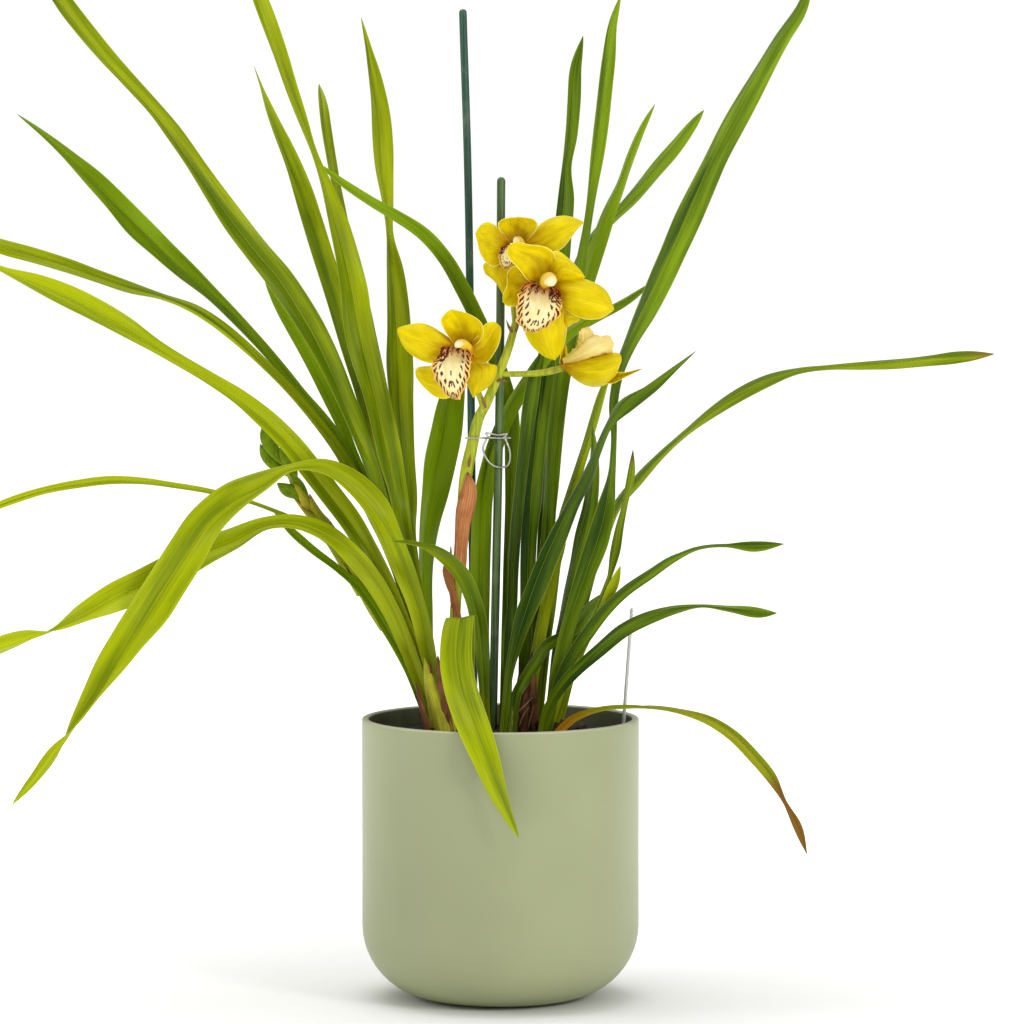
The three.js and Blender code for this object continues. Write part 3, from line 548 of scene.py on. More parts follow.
def bed_height(x, y):
    """The bed's height: a low dome from the crown to the edge, with a few waves on it."""
    share = (x**2 + y**2) / BED["radius"]**2
    dome = BED["crown"] - (BED["crown"] - BED["edge"]) * share
    lumps = (np.sin(310 * x + 1.3) * np.sin(270 * y) + np.sin(190 * x - 240 * y)
             + 0.6 * np.sin(520 * x + 410 * y + 2))
    return dome + BED["lump"] * lumps - BED["lowered"]


def bark_bed():
    """A disc of bed_height, closed below by the shape of the pot it fills."""
    radius = np.linspace(BED["axis"], BED["radius"], BED["rings"])
    angle = np.linspace(0, TURN, BED["around"], endpoint=False)
    x = radius[:, None] * np.cos(angle)
    y = radius[:, None] * np.sin(angle)
    top = np.stack([x, y, bed_height(x, y)], -1)
    below = turned(np.array(BED["below"]), BED["around"])
    return skin("bark_bed", np.concatenate([top, below]))


def chip(rng, centre=None, scale=1.0):
    """One chip: a block squared round as (|x|^4 + |y|^4 + |z|^4) = 1, flattened, roughened
    and turned any way, on a grid of 7 by 10. It lies on the bed, or at centre."""
    c = CHIPS
    lift = np.linspace(-c["lift"], c["lift"], c["rows"])[:, None]
    turn = np.linspace(0, TURN, c["columns"], endpoint=False)[None, :]
    ball = np.stack([np.cos(lift) * np.cos(turn), np.cos(lift) * np.sin(turn),
                     np.sin(lift) + 0 * turn], -1)
    block = ball / (np.abs(ball)**c["square"]).sum(-1, keepdims=True)**(1 / c["square"])
    rough = 1 + c["rough"] * rng.normal(size=block.shape[:2])
    block = block * rough[..., None].clip(*c["worn"])
    size = scale * c["length"] * rng.uniform(*c["lengths"]) * np.array(
        [c["half"], rng.uniform(*c["widths"]), rng.uniform(*c["heights"])])
    spin = rng.uniform(0, TURN)
    tip = rng.normal(0, c["lean"])
    flat = np.array([[np.cos(spin), -np.sin(spin), 0], [np.sin(spin), np.cos(spin), 0],
                     [0, 0, 1]])
    lean = np.array([[1, 0, 0], [0, np.cos(tip), -np.sin(tip)], [0, np.sin(tip), np.cos(tip)]])
    shape = (block * size) @ (flat @ lean).T
    reach = (BED["radius"] - c["clear"]) * np.sqrt(rng.uniform(0, 1))
    where = rng.uniform(0, TURN)
    x, y = reach * np.cos(where), reach * np.sin(where)
    level = bed_height(x, y) + size[2] / 2
    shape = shape + ([x, y, level] if centre is None else centre)
    tone = np.zeros_like(shape)
    tone[..., 0] = rng.uniform(0, 1)
    return skin("chip", shape, {"tone": tone})


BARK = {"dark": srgb(20, 16, 12), "light": srgb(74, 50, 34), "worn": srgb(96, 70, 50),
        "worn_share": 0.7, "shade": srgb(26, 22, 16), "shade_share": 0.5, "fibres": 350,
        "patches": 45, "gloss": 0.75, "dulled": 0.2, "bump": 0.0008}


def bark():
    """Dark to mid brown from chip to chip, worn paler along its fibres, shaded in patches."""
    b = BARK
    f = Finish("bark", Specular_IOR_Level=0.25)
    where = f.object_place()
    tone = f.attribute("tone")[0]
    grain = f.noise(where, b["fibres"], 5, 0.65)
    patches = f.noise(where, b["patches"], 3)
    dark = f.mix(tone, b["dark"], b["light"])
    colour = f.mix(grain.step(0.4, 0.75) * b["worn_share"], dark, b["worn"])
    colour = f.mix(patches.step(0.5, 0.8) * b["shade_share"], colour, b["shade"])
    return f.show(colour, b["gloss"] + b["dulled"] * grain, grain, b["bump"])


def bark_pieces():
    """The bed, chips all over it, and small heaps of chips at the places in HEAP, which are
    x, y, z and the chips' scale."""
    rng = np.random.default_rng(CHIPS["seed"])
    bed = bark_bed()
    chips = [chip(rng) for _ in range(CHIPS["count"])]
    for x, y, z, scale in HEAP:
        chips += [chip(rng, [x, y, z] + rng.normal(0, CHIPS["spread"], 3), scale)
                  for _ in range(CHIPS["heaped"])]
    return joined("bark", [bed, *chips])


piece("bark", bark_pieces(), bark(), "medium", "growing_medium")

# %% [markdown]
# ## The leaves
# Each leaf is a long strap, creased along its midrib into a shallow V, thickest at the rib
# and thin as paper at its margins. The frame holds every leaf as rings of four points: its
# two margins and the two faces of its rib. Those rings already bend and twist as the real
# leaves do, so they are read back from the frame, made smooth between them, and given a
# finer section. A curve with a bevel would bend as well, but it can't twist and widen so
# freely, and its section wouldn't follow the margins.

# %% Read a leaf's rings from the frame
def leaf_rings(node):
    """The leaf's rings from tip to foot, (rings, 4, 3): left margin, front of the rib, right
    margin, back of the rib. The tip is the point from which all others lie in layers of
    four, walking from neighbour to neighbour; in a layer the two points furthest apart are
    the margins, and a point's neighbour of its own kind is the next one along."""
    mesh = frame["nodes"][node].data
    mesh.calc_loop_triangles()
    raw = np.zeros(len(mesh.vertices) * 3)
    mesh.vertices.foreach_get("co", raw)
    corners = np.zeros(len(mesh.loop_triangles) * 3, int)
    mesh.loop_triangles.foreach_get("vertices", corners)
    points, same = np.unique(raw.reshape(-1, 3).round(5), axis=0, return_inverse=True)
    triangles = same.ravel()[corners.reshape(-1, 3)]
    near = [set() for _ in points]
    for a, b, c in triangles:
        near[a] |= {b, c}
        near[b] |= {a, c}
        near[c] |= {a, b}
    for tip in (i for i, found in enumerate(near) if len(found) == 4):
        layers = layers_from(tip, near)
        if all(len(layer) == 4 for layer in layers[1:]):
            break
    kinds = [split_ring(points, sorted(layer)) for layer in layers[1:]]
    order = [kinds[0][0] + kinds[0][1]]
    for margins, ribs in kinds[1:]:
        last = order[-1]
        left = [i for i in margins if i in near[last[0]]][0]
        front = [i for i in ribs if i in near[last[2]]][0]
        order.append([left, *[i for i in margins if i != left],
                      front, *[i for i in ribs if i != front]])
    rings = points[np.array(order)][:, [0, 2, 1, 3]]
    rings = np.concatenate([np.broadcast_to(points[tip], (1, 4, 3)), rings])
    crease = rings[:, [0, 2]].mean(1) - rings[:, [1, 3]].mean(1)
    if ((rings[:, 1] - rings[:, 3]) * crease).sum() < 0:
        rings = rings[:, [2, 3, 0, 1]]
    return rings


def layers_from(start, near):
    layers = [{start}]
    seen = {start}
    while layers[-1]:
        following = set().union(*[near[i] for i in layers[-1]]) - seen
        seen |= following
        layers.append(following)
    return layers[:-1]


def split_ring(points, ring):
    """The two points of a ring that are furthest apart, and the other two."""
    gaps = np.linalg.norm(points[ring][:, None] - points[ring][None], axis=-1)
    a, b = np.unravel_index(gaps.argmax(), gaps.shape)
    return [ring[a], ring[b]], [i for j, i in enumerate(ring) if j not in (a, b)]


# %% [markdown]
# ## A leaf's section
# A leaf has a groove above its midrib and a keel below it, and its halves swell slightly
# between rib and margin. Solidify would give the strip one thickness all over, so the upper
# and lower faces are each worked out, from the line between the two margins.

# %% The shape of a leaf
STRAP = {"per_ring": 6, "rib": 0.00062, "margin": 0.00016, "crease": 0.34, "foot_crease": 0.16,
         "belly": 0.05, "groove": 0.00018, "keel": 0.00035, "narrowest": 0.0002,
         "tip_power": 0.72, "sink": 0.005, "ripple": 0.0006, "waves": 38, "blunt": 0.02,
         "foot_share": 0.35, "foot_power": 1.5, "second_wave": (0.5, 2.3), "calm": 8,
         "thin_below": 0.003, "thin_power": 1.4, "groove_width": 0.05, "keel_width": 0.07}
CREASES = {"leaf_front_folded": 0.3, "leaf_left_8": 1.2}
RAISED = {"leaf_front_folded": 0.0036}
ACROSS = np.array([-1, -0.97, -0.86, -0.7, -0.52, -0.34, -0.18, -0.07])
ACROSS = np.concatenate([ACROSS, [0], -ACROSS[::-1]])


def strap(node, trait, seed):
    """A leaf over (row, across). Each row lies between its two margins, at the share v from
    -1 to 1. The faces stand off the line between the margins by
    crease * half * (|v| - 1/2)  for the V,
    belly * half * sin(pi |v|)   for the halves' slight swelling, and
    half the thickness, which falls from the rib's to the margin's as 1 - |v|^1.4."""
    rings = leaf_rings(node)
    top = rings.mean(1)[:, 2].argmax()
    rings[top, :, 2] += RAISED.get(node, 0)
    foot_down = rings[-1] - [0, 0, STRAP["sink"]]
    rings = np.concatenate([rings, foot_down[None]])
    rows = smooth(rings, STRAP["per_ring"])
    step = np.arange(len(rows)) / STRAP["per_ring"]
    left, right = rows[:, 0], rows[:, 2]
    flat = (right - left) / 2
    plump = np.where(step < 1, np.maximum(step, STRAP["blunt"])**(STRAP["tip_power"] - 1), 1)
    flat = flat * plump[:, None]
    half = np.maximum(np.linalg.norm(flat, axis=-1), STRAP["narrowest"])
    side = unit(flat + [1e-9, 0, 0])
    side[0] = side[1]
    middle = (left + right) / 2
    along = np.gradient(middle, axis=0)
    face = unit(np.cross(side, along))
    front = rows[:, 1] - rows[:, 3]
    face = face * np.sign((face * front).sum(-1).sum())
    run = run_along(middle)
    share = 1 - run / run[-1]
    v = ACROSS[None, :]
    near_foot = np.clip(1 - share / STRAP["foot_share"], 0, 1)**STRAP["foot_power"]
    crease = STRAP["crease"] + STRAP["foot_crease"] * near_foot
    crease = crease * CREASES.get(node, 1)
    lift = crease[:, None] * half[:, None] * (np.abs(v) - 0.5)
    lift = lift + STRAP["belly"] * half[:, None] * np.sin(np.pi * np.abs(v))
    rng = np.random.default_rng(seed)
    phase = rng.uniform(0, TURN, 4)
    size, faster = STRAP["second_wave"]
    wave = (np.sin(STRAP["waves"] * run[:, None] + phase[0] + phase[1] * np.sign(v))
            + size * np.sin(faster * STRAP["waves"] * run[:, None]
                            + phase[2] * (1 + np.sign(v))))
    swing = np.minimum(1, np.minimum(share, 1 - share) * STRAP["calm"])[:, None]
    lift = lift + STRAP["ripple"] * wave * np.abs(v)**2 * swing
    thin = np.minimum(1, half / STRAP["thin_below"])[:, None]
    inwards = 1 - np.abs(v)**STRAP["thin_power"]
    thick = (STRAP["margin"] + (STRAP["rib"] - STRAP["margin"]) * inwards) * thin
    groove = STRAP["groove"] * np.exp(-(v / STRAP["groove_width"])**2) * thin
    keel = STRAP["keel"] * np.exp(-(v / STRAP["keel_width"])**2) * thin
    base = middle[:, None] + side[:, None] * (half[:, None] * v)[..., None]
    top = base + face[:, None] * (lift + thick / 2 - groove)[..., None]
    below = base + face[:, None] * (lift - thick / 2 - keel)[..., None]
    grid = np.concatenate([top, below[:, ::-1]], 1)
    place = np.zeros_like(grid)
    place[..., 0] = share[:, None]
    place[..., 1] = np.concatenate([ACROSS, ACROSS[::-1]])[None, :]
    place[..., 2] = run[:, None]
    traits = np.zeros_like(grid) + np.asarray(trait)
    return skin(node.replace("leaf", "strap"), grid, {"place": place, "trait": traits})


# %% [markdown]
# ## The leaf's finish
# The strap shows a pale line along its rib between two darker ones, faint parallel veins,
# and a thin pale rim. Lighter and darker green pass into each other along it. It is yellower
# near the foot, where the blades clasp each other, and a few tips have dried. All of this
# runs along the leaf, so the pattern reads the place that each point keeps: its share of the
# way up, its place across from -1 to 1, and the metres along. A second attribute holds what
# differs from leaf to leaf: its tone, how far its tip has dried, and how red that is.

# %% Leaf finish
# One of these shares is painted shade, which darkens one half of each leaf.
LEAF = {"veins": 34, "vein_share": 0.1, "painted_shade_half_share": 0.14, "level": 0.3, "foot": (0.3, 0.0),
        "flank": 0.07, "flank_share": 0.16, "rib": (0.03, 0.01), "rib_share": 0.3,
        "rib_colour": srgb(190, 200, 60), "rim": (0.93, 0.985), "rim_share": 0.35,
        "rim_colour": srgb(200, 204, 90), "brown": srgb(150, 104, 40),
        "red_brown": srgb(92, 34, 26), "dry_share": 0.9, "speck_share": 0.22,
        "speck_colour": srgb(120, 92, 30), "gloss": 0.34, "bump": 0.00005}


def leaf_finish(name, dark, light, foot):
    """Dark to light green by three patterns of different size, with painted shade on one half,
    then the foot's yellow, the darker flanks of the rib, the rib, the rim, the dried tip and a
    few specks."""
    k = LEAF
    f = Finish(name, IOR=1.45, Specular_IOR_Level=0.13)
    share, across, metres = f.attribute("place")
    tone, dried, red = f.attribute("trait")
    aside = across.size()
    veins = (across * k["veins"] + tone * 9).stripes()
    fine = f.noise(f.vector(across * 11, metres * 16, tone * 40), 1.0, 2)
    broad = f.noise(f.vector(across * 1.2, metres * 12, tone * 70), 1.0, 1)
    patches = f.noise(f.vector(across * 3, metres * 42, tone * 20), 1.0, 2)
    # Painted shade: the half of the leaf where across is above nought is made darker. The
    # green also grows lighter from the foot to the tip.
    half = across.step(-0.05, 0.05)
    light_share = ((fine - 0.5) * 0.4 + (broad - 0.5) * 0.9 + (patches - 0.5) * 0.3
                   + (share - 0.45) * 0.35 - half * k["painted_shade_half_share"] + tone * 0.6
                   + k["level"])
    colour = f.mix(light_share.step(0.0, 1.0), dark, light)
    colour = f.mix(veins.step(0.4, 1.0) * k["vein_share"], colour, dark)
    near_foot = share.step(*k["foot"]) * (0.6 + 0.5 * fine)
    colour = f.mix(near_foot.step(0.0, 1.0), colour, foot)
    flank = (aside - k["flank"]).size().step(0.045, 0.0)
    colour = f.mix(flank * k["flank_share"], colour, dark)
    colour = f.mix(aside.step(*k["rib"]) * k["rib_share"], colour, k["rib_colour"])
    colour = f.mix(aside.step(*k["rim"]) * k["rim_share"], colour, k["rim_colour"])
    edge = share + (fine - 0.5) * 0.05 + aside * 0.012
    dry = (edge + dried - 1.0).step(-0.02, 0.05) * dried.step(0.001, 0.01)
    brown = f.mix(red, k["brown"], k["red_brown"])
    colour = f.mix(dry * k["dry_share"], colour, brown)
    specks = f.noise(f.vector(across * 5, metres * 160, tone * 90), 1.0, 2).step(0.72, 0.8)
    colour = f.mix(specks * k["speck_share"], colour, k["speck_colour"])
    height = veins * 0.3 + fine * 0.5
    return f.show(colour, k["gloss"] + 0.14 * fine + 0.2 * dry, height, k["bump"])


LEAF_FINISHES = {
    "leaf_green": leaf_finish("green_strap", srgb(78, 102, 0), srgb(182, 194, 4),
                              srgb(146, 158, 0)),
    "leaf_dark": leaf_finish("dark_strap", srgb(34, 62, 0), srgb(134, 164, 4),
                             srgb(100, 124, 0)),
    "leaf_yellow": leaf_finish("turning_strap", srgb(104, 122, 8), srgb(166, 168, 26),
                               srgb(206, 138, 20)),
}

# %% [markdown]
# ## All the leaves
# No two leaves are the same green. One number for each leaf says how light it is, and six
# leaves have two more, for how far the tip has dried and how red that is. Random tones would
# put light leaves where dark ones grow.

# %% Make the leaves
TIPS = {"leaf_right_6": (0.045, 1.0), "leaf_right_10": (0.24, 0.2),
        "leaf_right_5": (0.03, 0.3), "leaf_left_6": (0.03, 0.2),
        "leaf_right_13": (0.02, 0.3), "leaf_left_14": (0.05, 0.1)}
LEAF_SEED = 40
TONES = {
    "leaf_front_folded": 0.31, "leaf_front_small": -0.17, "leaf_left_1": 0.01,
    "leaf_left_10": 0.15, "leaf_left_11": 0.11, "leaf_left_12": 0.23, "leaf_left_13": 1.24,
    "leaf_left_14": 1.03, "leaf_left_2": 0.49, "leaf_left_3": 0.28, "leaf_left_4": 0.56,
    "leaf_left_5": 0.57, "leaf_left_6": 1.7, "leaf_left_7": 0.64, "leaf_left_8": 0.58,
    "leaf_left_9": 0.2, "leaf_middle_1": 0.6, "leaf_middle_2": 0.84,
    "leaf_middle_3": 0.04, "leaf_middle_4": 0.36, "leaf_middle_5": -0.17,
    "leaf_right_1": 0.76, "leaf_right_10": 0.54, "leaf_right_11": 0.06,
    "leaf_right_12": 0.03, "leaf_right_13": 0.05, "leaf_right_14": 0.65,
    "leaf_right_2": 0.32, "leaf_right_3": 0.17, "leaf_right_4": -0.16,
    "leaf_right_5": -0.12, "leaf_right_6": -0.18, "leaf_right_7": 0.5,
    "leaf_right_8": 0.06, "leaf_right_9": 0.18}


def make_leaves():
    """One strap for each leaf of the frame, in the finish of the slot the record gives it."""
    slots = {row["node"]: row["material_slot"] for row in frame["record"]["subparts"]
             if row["node"].startswith("leaf")}
    for i, node in enumerate(sorted(slots)):
        dried, red = TIPS.get(node, (0.0, 0.0))
        mesh = strap(node, (TONES[node], dried, red), LEAF_SEED + i)
        slot = slots[node]
        piece(node.replace("leaf", "strap"), mesh, LEAF_FINISHES[slot], slot, node)


make_leaves()

# %% [markdown]
# ## Stakes
# Three stakes stand in the bark: a tall dark green one, a shorter lighter one that holds the
# flower stem, and a thin clear rod. Each is a straight bar with a rounded top. A cylinder
# with a bevel would do for the shape; it is made as rings along a line here, because the
# same few lines then make the stem, the buds and the wire too.

# %% Bars along a line
SINK = 0.013
KNOTS = 12
DOME = {"first": 0.2, "rings": 6}


def run_through(rows, per_span=10):
    """A smooth line, in metres, through places named by the picture."""
    return smooth(from_picture(rows), per_span)


def rooted(line, sink=SINK):
    """The line with its last point carried on straight down into the bark."""
    return np.concatenate([line, (line[-1] - [0, 0, sink])[None]])


def at(line, distance):
    """The points of a line at these distances along it."""
    run = run_along(line)
    return np.stack([np.interp(distance, run, line[:, i]) for i in range(3)], -1)


def eased(line, radii):
    """One radius for each point of a line, from radii spread evenly along it."""
    run = run_along(line)
    knots = smooth(np.asarray(radii, float)[:, None], KNOTS)[:, 0]
    return np.interp(run / run[-1], np.linspace(0, 1, len(knots)), knots)


def bar(name, line, radius, around=20, spacing=0.004):
    """A round bar with a domed start: the radius grows as a quarter circle, then stays."""
    length = run_along(line)[-1]
    dome = radius * (1 - np.cos(np.linspace(DOME["first"], np.pi / 2, DOME["rings"])))
    distance = np.concatenate([dome, np.arange(radius + spacing, length, spacing), [length]])
    short = 1 - np.minimum(distance / radius, 1)
    points = at(line, distance)
    grid = tube(points, radius * np.sqrt(1 - short**2), around)
    return skin(name, grid, {"place": tube_attributes(points, around)})


CANE = {"across": 900, "along": 12, "streaked": (0.35, 0.68), "dust": 70, "dust_share": 0.22,
        "dust_colour": srgb(150, 150, 120), "gloss": 0.34, "dulled": 0.2, "bump": 0.00012}


def stake_finish(name, dark, light, **constants):
    """Moulded plastic over a cane: faint streaks along it and some dust."""
    c = CANE
    f = Finish(name, **constants)
    x, y, z = f.place_parts()
    streak = f.noise(f.vector(x * c["across"], y * c["across"], z * c["along"]), 1.0, 3)
    dust = f.noise(f.object_place(), c["dust"], 4).step(0.5, 0.75)
    colour = f.mix(streak.step(*c["streaked"]), dark, light)
    colour = f.mix(dust * c["dust_share"], colour, c["dust_colour"])
    return f.show(colour, c["gloss"] + c["dulled"] * streak, streak, c["bump"])


STAKES = {
    "tall": ([[462.8, 9, 26], [469.2, 240, 26], [474, 716, 26]], 0.0024),
    "short": ([[501.2, 177, -0.5], [499.5, 400, -0.5], [493, 716, -0.5]], 0.0026),
    "clear": ([[632, 608, 2], [623.6, 722, 2]], 0.0011),
}


def stake(name, which):
    rows, radius = STAKES[which]
    return bar(name, rooted(run_through(rows)), radius)


piece("tall_stake", stake("tall_stake", "tall"),
      stake_finish("dark_green_cane", srgb(16, 58, 40), srgb(40, 90, 66)),
      "stake_dark", "stake_tall")
piece("short_stake", stake("short_stake", "short"),
      stake_finish("green_cane", srgb(44, 72, 24), srgb(88, 116, 54)),
      "stake_light", "stake_short")
piece("clear_rod", stake("clear_rod", "clear"),
      stake_finish("clear_plastic", srgb(196, 200, 190), srgb(232, 234, 226),
                   Transmission_Weight=0.35, IOR=1.46),
      "stake_clear", "stake_clear")

# %% [markdown]
# ## The wire
# A bent wire holds the flower stem to the short stake: a straight bar across both, a loop
# that hangs below, and a twist where its ends are wound together.

# %% Wire
WIRE = {"radius": 0.0006, "around": 10, "spacing": 0.0006, "cut": 0.6, "drawn": 1800,
        "dull": 220, "bright": srgb(196, 196, 186), "grey": srgb(150, 150, 140),
        "gloss": 0.22, "bump": 0.00003}
WIRE_BAR = [[465, 438, -9.3], [479, 438, -9.3], [490, 438, -5.6], [499, 438, -4],
            [511, 438, -4]]
WIRE_LOOP = [[487, 438, -6.3], [483, 449, -5.4], [489, 462, -4.4], [498, 467, -4.1],
             [508, 465, -4], [510, 452, -4], [505, 438, -4]]
WIRE_TWIST = [[490, 438, -5.4], [486, 433, -5.6], [498, 435, -4.1], [507, 434, -4],
              [503, 438, -4]]


def wire_part(name, rows):
    """One bend of the wire, a little thinner at its two cut ends."""
    line = run_through(rows)
    length = run_along(line)[-1]
    points = at(line, np.linspace(0, length, round(length / WIRE["spacing"])))
    radii = np.full(len(points), WIRE["radius"])
    radii[[0, -1]] = WIRE["radius"] * WIRE["cut"]
    return skin(name, tube(points, radii, WIRE["around"]))


def wire_finish():
    """Bright drawn wire with duller patches."""
    f = Finish("bright_wire", Metallic=1.0)
    drawn = f.noise(f.object_place(), WIRE["drawn"], 3)
    dull = f.noise(f.object_place(), WIRE["dull"], 3)
    colour = f.mix(dull.step(0.4, 0.7), WIRE["bright"], WIRE["grey"])
    return f.show(colour, WIRE["gloss"] + 0.2 * drawn, drawn, WIRE["bump"])


wire_parts = [wire_part("wire", rows) for rows in (WIRE_BAR, WIRE_LOOP, WIRE_TWIST)]
piece("stem_wire", joined("stem_wire", wire_parts), wire_finish(), "wire", "wire_clip")

# %% [markdown]
# ## Blades
# Petals, lips, bracts and the scales on a bud spike are all thin blades that curl across
# their width. One function makes them: at each row of a line the section is an arc of a
# circle, flat where the curl is nought, and its two faces stand half a thickness off it.

# %% Blade
BLADE = {"spread": 0.94, "lost": 0.15, "least_curl": 0.001, "least_half": 0.0001,
         "thin_below": 0.0015, "thinned": 0.72, "thin_power": 2.2}


def blade(name, line, half, curl, thick, facing=(0, -1, 0), columns=17, ripple=None,
          trait=(0, 0, 0)):
    """A closed blade over (share along u, v from -1 to 1). With a = curl * v, its middle
    surface is line + side * half * sin(a) / curl + out * half * (1 - cos(a)) / curl, where
    out looks towards facing. ripple(u, v) is added along the local normal."""
    u = run_along(line)
    u = (u / u[-1])[:, None]
    v = np.sin(np.linspace(-np.pi / 2, np.pi / 2, columns) * BLADE["spread"])
    v = (v / v[-1])[None, :]
    forward = unit(np.gradient(line, axis=0))
    side = np.cross(forward, np.asarray(facing, float))
    for i in range(1, len(side)):
        if np.dot(side[i], side[i - 1]) < BLADE["lost"] * np.linalg.norm(side[i - 1]):
            side[i] = side[i - 1] - forward[i] * np.dot(forward[i], side[i - 1])
    side = unit(side)
    out = unit(np.cross(side, forward))
    curl = np.broadcast_to(np.asarray(curl, float), len(line))[:, None]
    curl = np.where(np.abs(curl) < BLADE["least_curl"], BLADE["least_curl"], curl)
    half = np.maximum(np.asarray(half, float), BLADE["least_half"])[:, None]
    angle = curl * v
    across = half * np.sin(angle) / curl
    lift = half * (1 - np.cos(angle)) / curl
    surface = (line[:, None] + side[:, None] * across[..., None]
               + out[:, None] * lift[..., None])
    normal = (out[:, None] * np.cos(angle)[..., None]
              - side[:, None] * np.sin(angle)[..., None])
    if ripple is not None:
        surface = surface + normal * ripple(u, v)[..., None]
    thin = (np.minimum(1, half / BLADE["thin_below"])
            * (1 - BLADE["thinned"] * np.abs(v)**BLADE["thin_power"]))
    step = thick * thin[..., None] / 2
    grid = np.concatenate([surface + normal * step, (surface - normal * step)[:, ::-1]], 1)
    place = np.zeros_like(grid)
    place[..., 0] = u
    place[..., 1] = np.concatenate([v, v[:, ::-1]], 1)
    place[..., 2] = np.concatenate([np.ones(columns), np.zeros(columns)])[None, :]
    return skin(name, grid, {"place": place, "trait": np.zeros_like(grid) + trait})


# %% [markdown]
# ## The flower stem
# The stem leans in from the crown and up to the flowers, smooth, juicy and yellow-green,
# with a reddish blush on the side of the light. Four stalks leave it, each one thickening
# towards its flower, and each with a small dry bract where it starts.

# %% Flower stem
STEM = [[516, 322, -6], [508, 350, -8], [497, 378, -9], [487, 402, -9], [478, 420, -5],
        [471, 450, -5], [466, 475, -4], [462, 520, -3], [459, 560, -2], [455, 620, -1],
        [452, 716, 0]]
STEM_RADII = [2.3, 2.7, 3, 3.5, 3.9, 3.4, 3.3, 3.3, 3.3, 3.4, 3.6]
STALKS = [
    ([[484, 408, -9], [478, 392, -9], [470, 375, -10], [462, 355, -14], [460, 352, -17.4]],
     [2.2, 1.8, 1.8, 1.9, 2.0]),
    ([[500, 374, -9], [515, 374, -9], [540, 373, -9], [559, 369, -9], [562, 368, -11.4]],
     [1.8, 1.7, 1.8, 2.1, 2.1]),
    ([[514, 330, -6], [528, 306, -14], [546, 295, -20], [549, 294, -23.1]],
     [1.6, 1.6, 1.8, 1.9]),
    ([[515, 325, -6], [513, 300, -2], [514, 275, -1], [516, 252, -3], [516, 248, -6.4]],
     [1.6, 1.5, 1.6, 1.8, 1.8]),
]
BRACTS = [([[486, 408, -12.5], [483, 401, -13.5], [481, 394, -13.5]], 0.9),
          ([[497, 381, -12.5], [502, 380, -13.5], [508, 382, -13]], 1.0),
          ([[513, 333, -9], [509, 327, -10], [506, 319, -10]], 1.1),
          ([[516, 332, -9], [517.5, 326, -10], [515, 320, -10]], 0.9),
          ([[468.6, 467, -9.5], [469.4, 461, -9.7], [471, 454, -9.7]], 0.9)]


STALK = {"fewest": 12, "spacing": 0.0016, "ribs": 6, "depth": 0.07}
NODES = {"rings": 170, "around": 24, "apart": 0.231, "first": 0.1, "width": 0.006,
         "swell": 0.05, "facets": 0.015}
JUICY = {"across": 700, "along": 30, "patches": 55, "blushed": (0.56, 0.78),
         "blush_share": 0.55, "dots": 1400, "dot_share": 0.3, "gloss": 0.36, "bump": 0.00012}


def stalk(rows, radii, ridges, around=20):
    """A tube along the rows; ridges adds six shallow ribs, as an orchid's seed pod has."""
    line = run_through(rows)
    length = run_along(line)[-1]
    count = max(STALK["fewest"], round(length / STALK["spacing"]))
    points = at(line, np.linspace(0, length, count))
    grid = tube(points, eased(points, radii) * MM, around,
                pattern=lambda u, a: (ridges * np.cos(STALK["ribs"] * a)
                                      * np.sin(np.pi * u)))
    return skin("stalk", grid, {"place": tube_attributes(points, around)})


def plant_skin(name, dark, light, blush):
    """Juicy green skin: streaks along it, a blush in patches, and fine dark dots."""
    j = JUICY
    f = Finish(name, IOR=1.42, Coat_Weight=0.12, Coat_Roughness=0.25)
    x, y, z = f.place_parts()
    streak = f.noise(f.vector(x * j["across"], y * j["across"], z * j["along"]), 1.0, 3)
    patches = f.noise(f.object_place(), j["patches"], 3)
    colour = f.mix(streak.step(0.3, 0.7), dark, light)
    colour = f.mix(patches.step(*j["blushed"]) * j["blush_share"], colour, blush)
    dots = f.noise(f.object_place(), j["dots"], 2).step(0.66, 0.76)
    colour = f.mix(dots * j["dot_share"], colour, dark)
    return f.show(colour, j["gloss"] + 0.16 * streak, streak + dots * 0.4, j["bump"])


def stem_pattern(u, a):
    """The stem swells a little at its nodes, and it isn't quite round."""
    node = ((u % NODES["apart"]) - NODES["first"]) / NODES["width"]
    return NODES["swell"] * np.exp(-node**2) + NODES["facets"] * np.cos(5 * a + 9 * u)


def flower_stem_mesh():
    """The stem and the four stalks that leave it, as one mesh."""
    line = rooted(run_through(STEM))
    points = at(line, np.linspace(0, run_along(line)[-1], NODES["rings"]))
    grid = tube(points, eased(points, STEM_RADII) * MM, NODES["around"], stem_pattern)
    main = skin("stem", grid, {"place": tube_attributes(points, NODES["around"])})
    return joined("stem", [main] + [stalk(*row, STALK["depth"]) for row in STALKS])


piece("green_stem", flower_stem_mesh(),
      plant_skin("stem_skin", srgb(136, 152, 8), srgb(186, 192, 26), srgb(176, 128, 30)),
      "stem", "flower_stem")


# %% [markdown]
# ## Dry skins
# Bracts, sheaths and old leaf bases turn to brown paper, with long fibres, blotches and
# darker veins. Each piece keeps its own place along and across, so one finish in different
# colours follows the fibres of them all. A picture of paper would have to be fitted to
# every curl.

# %% Papery finish
PAPER = {"fibres": 24, "blotches": 90, "blotched": (0.45, 0.75), "blotch_share": 0.6,
         "veins": 40, "vein_share": 0.4, "gloss": 0.6, "dulled": 0.25, "bump": 0.0003}
BRACT = {"per_span": 8, "reach": (0.12, 0.985), "power": 0.6, "curl": -0.9, "thick": 0.0004}


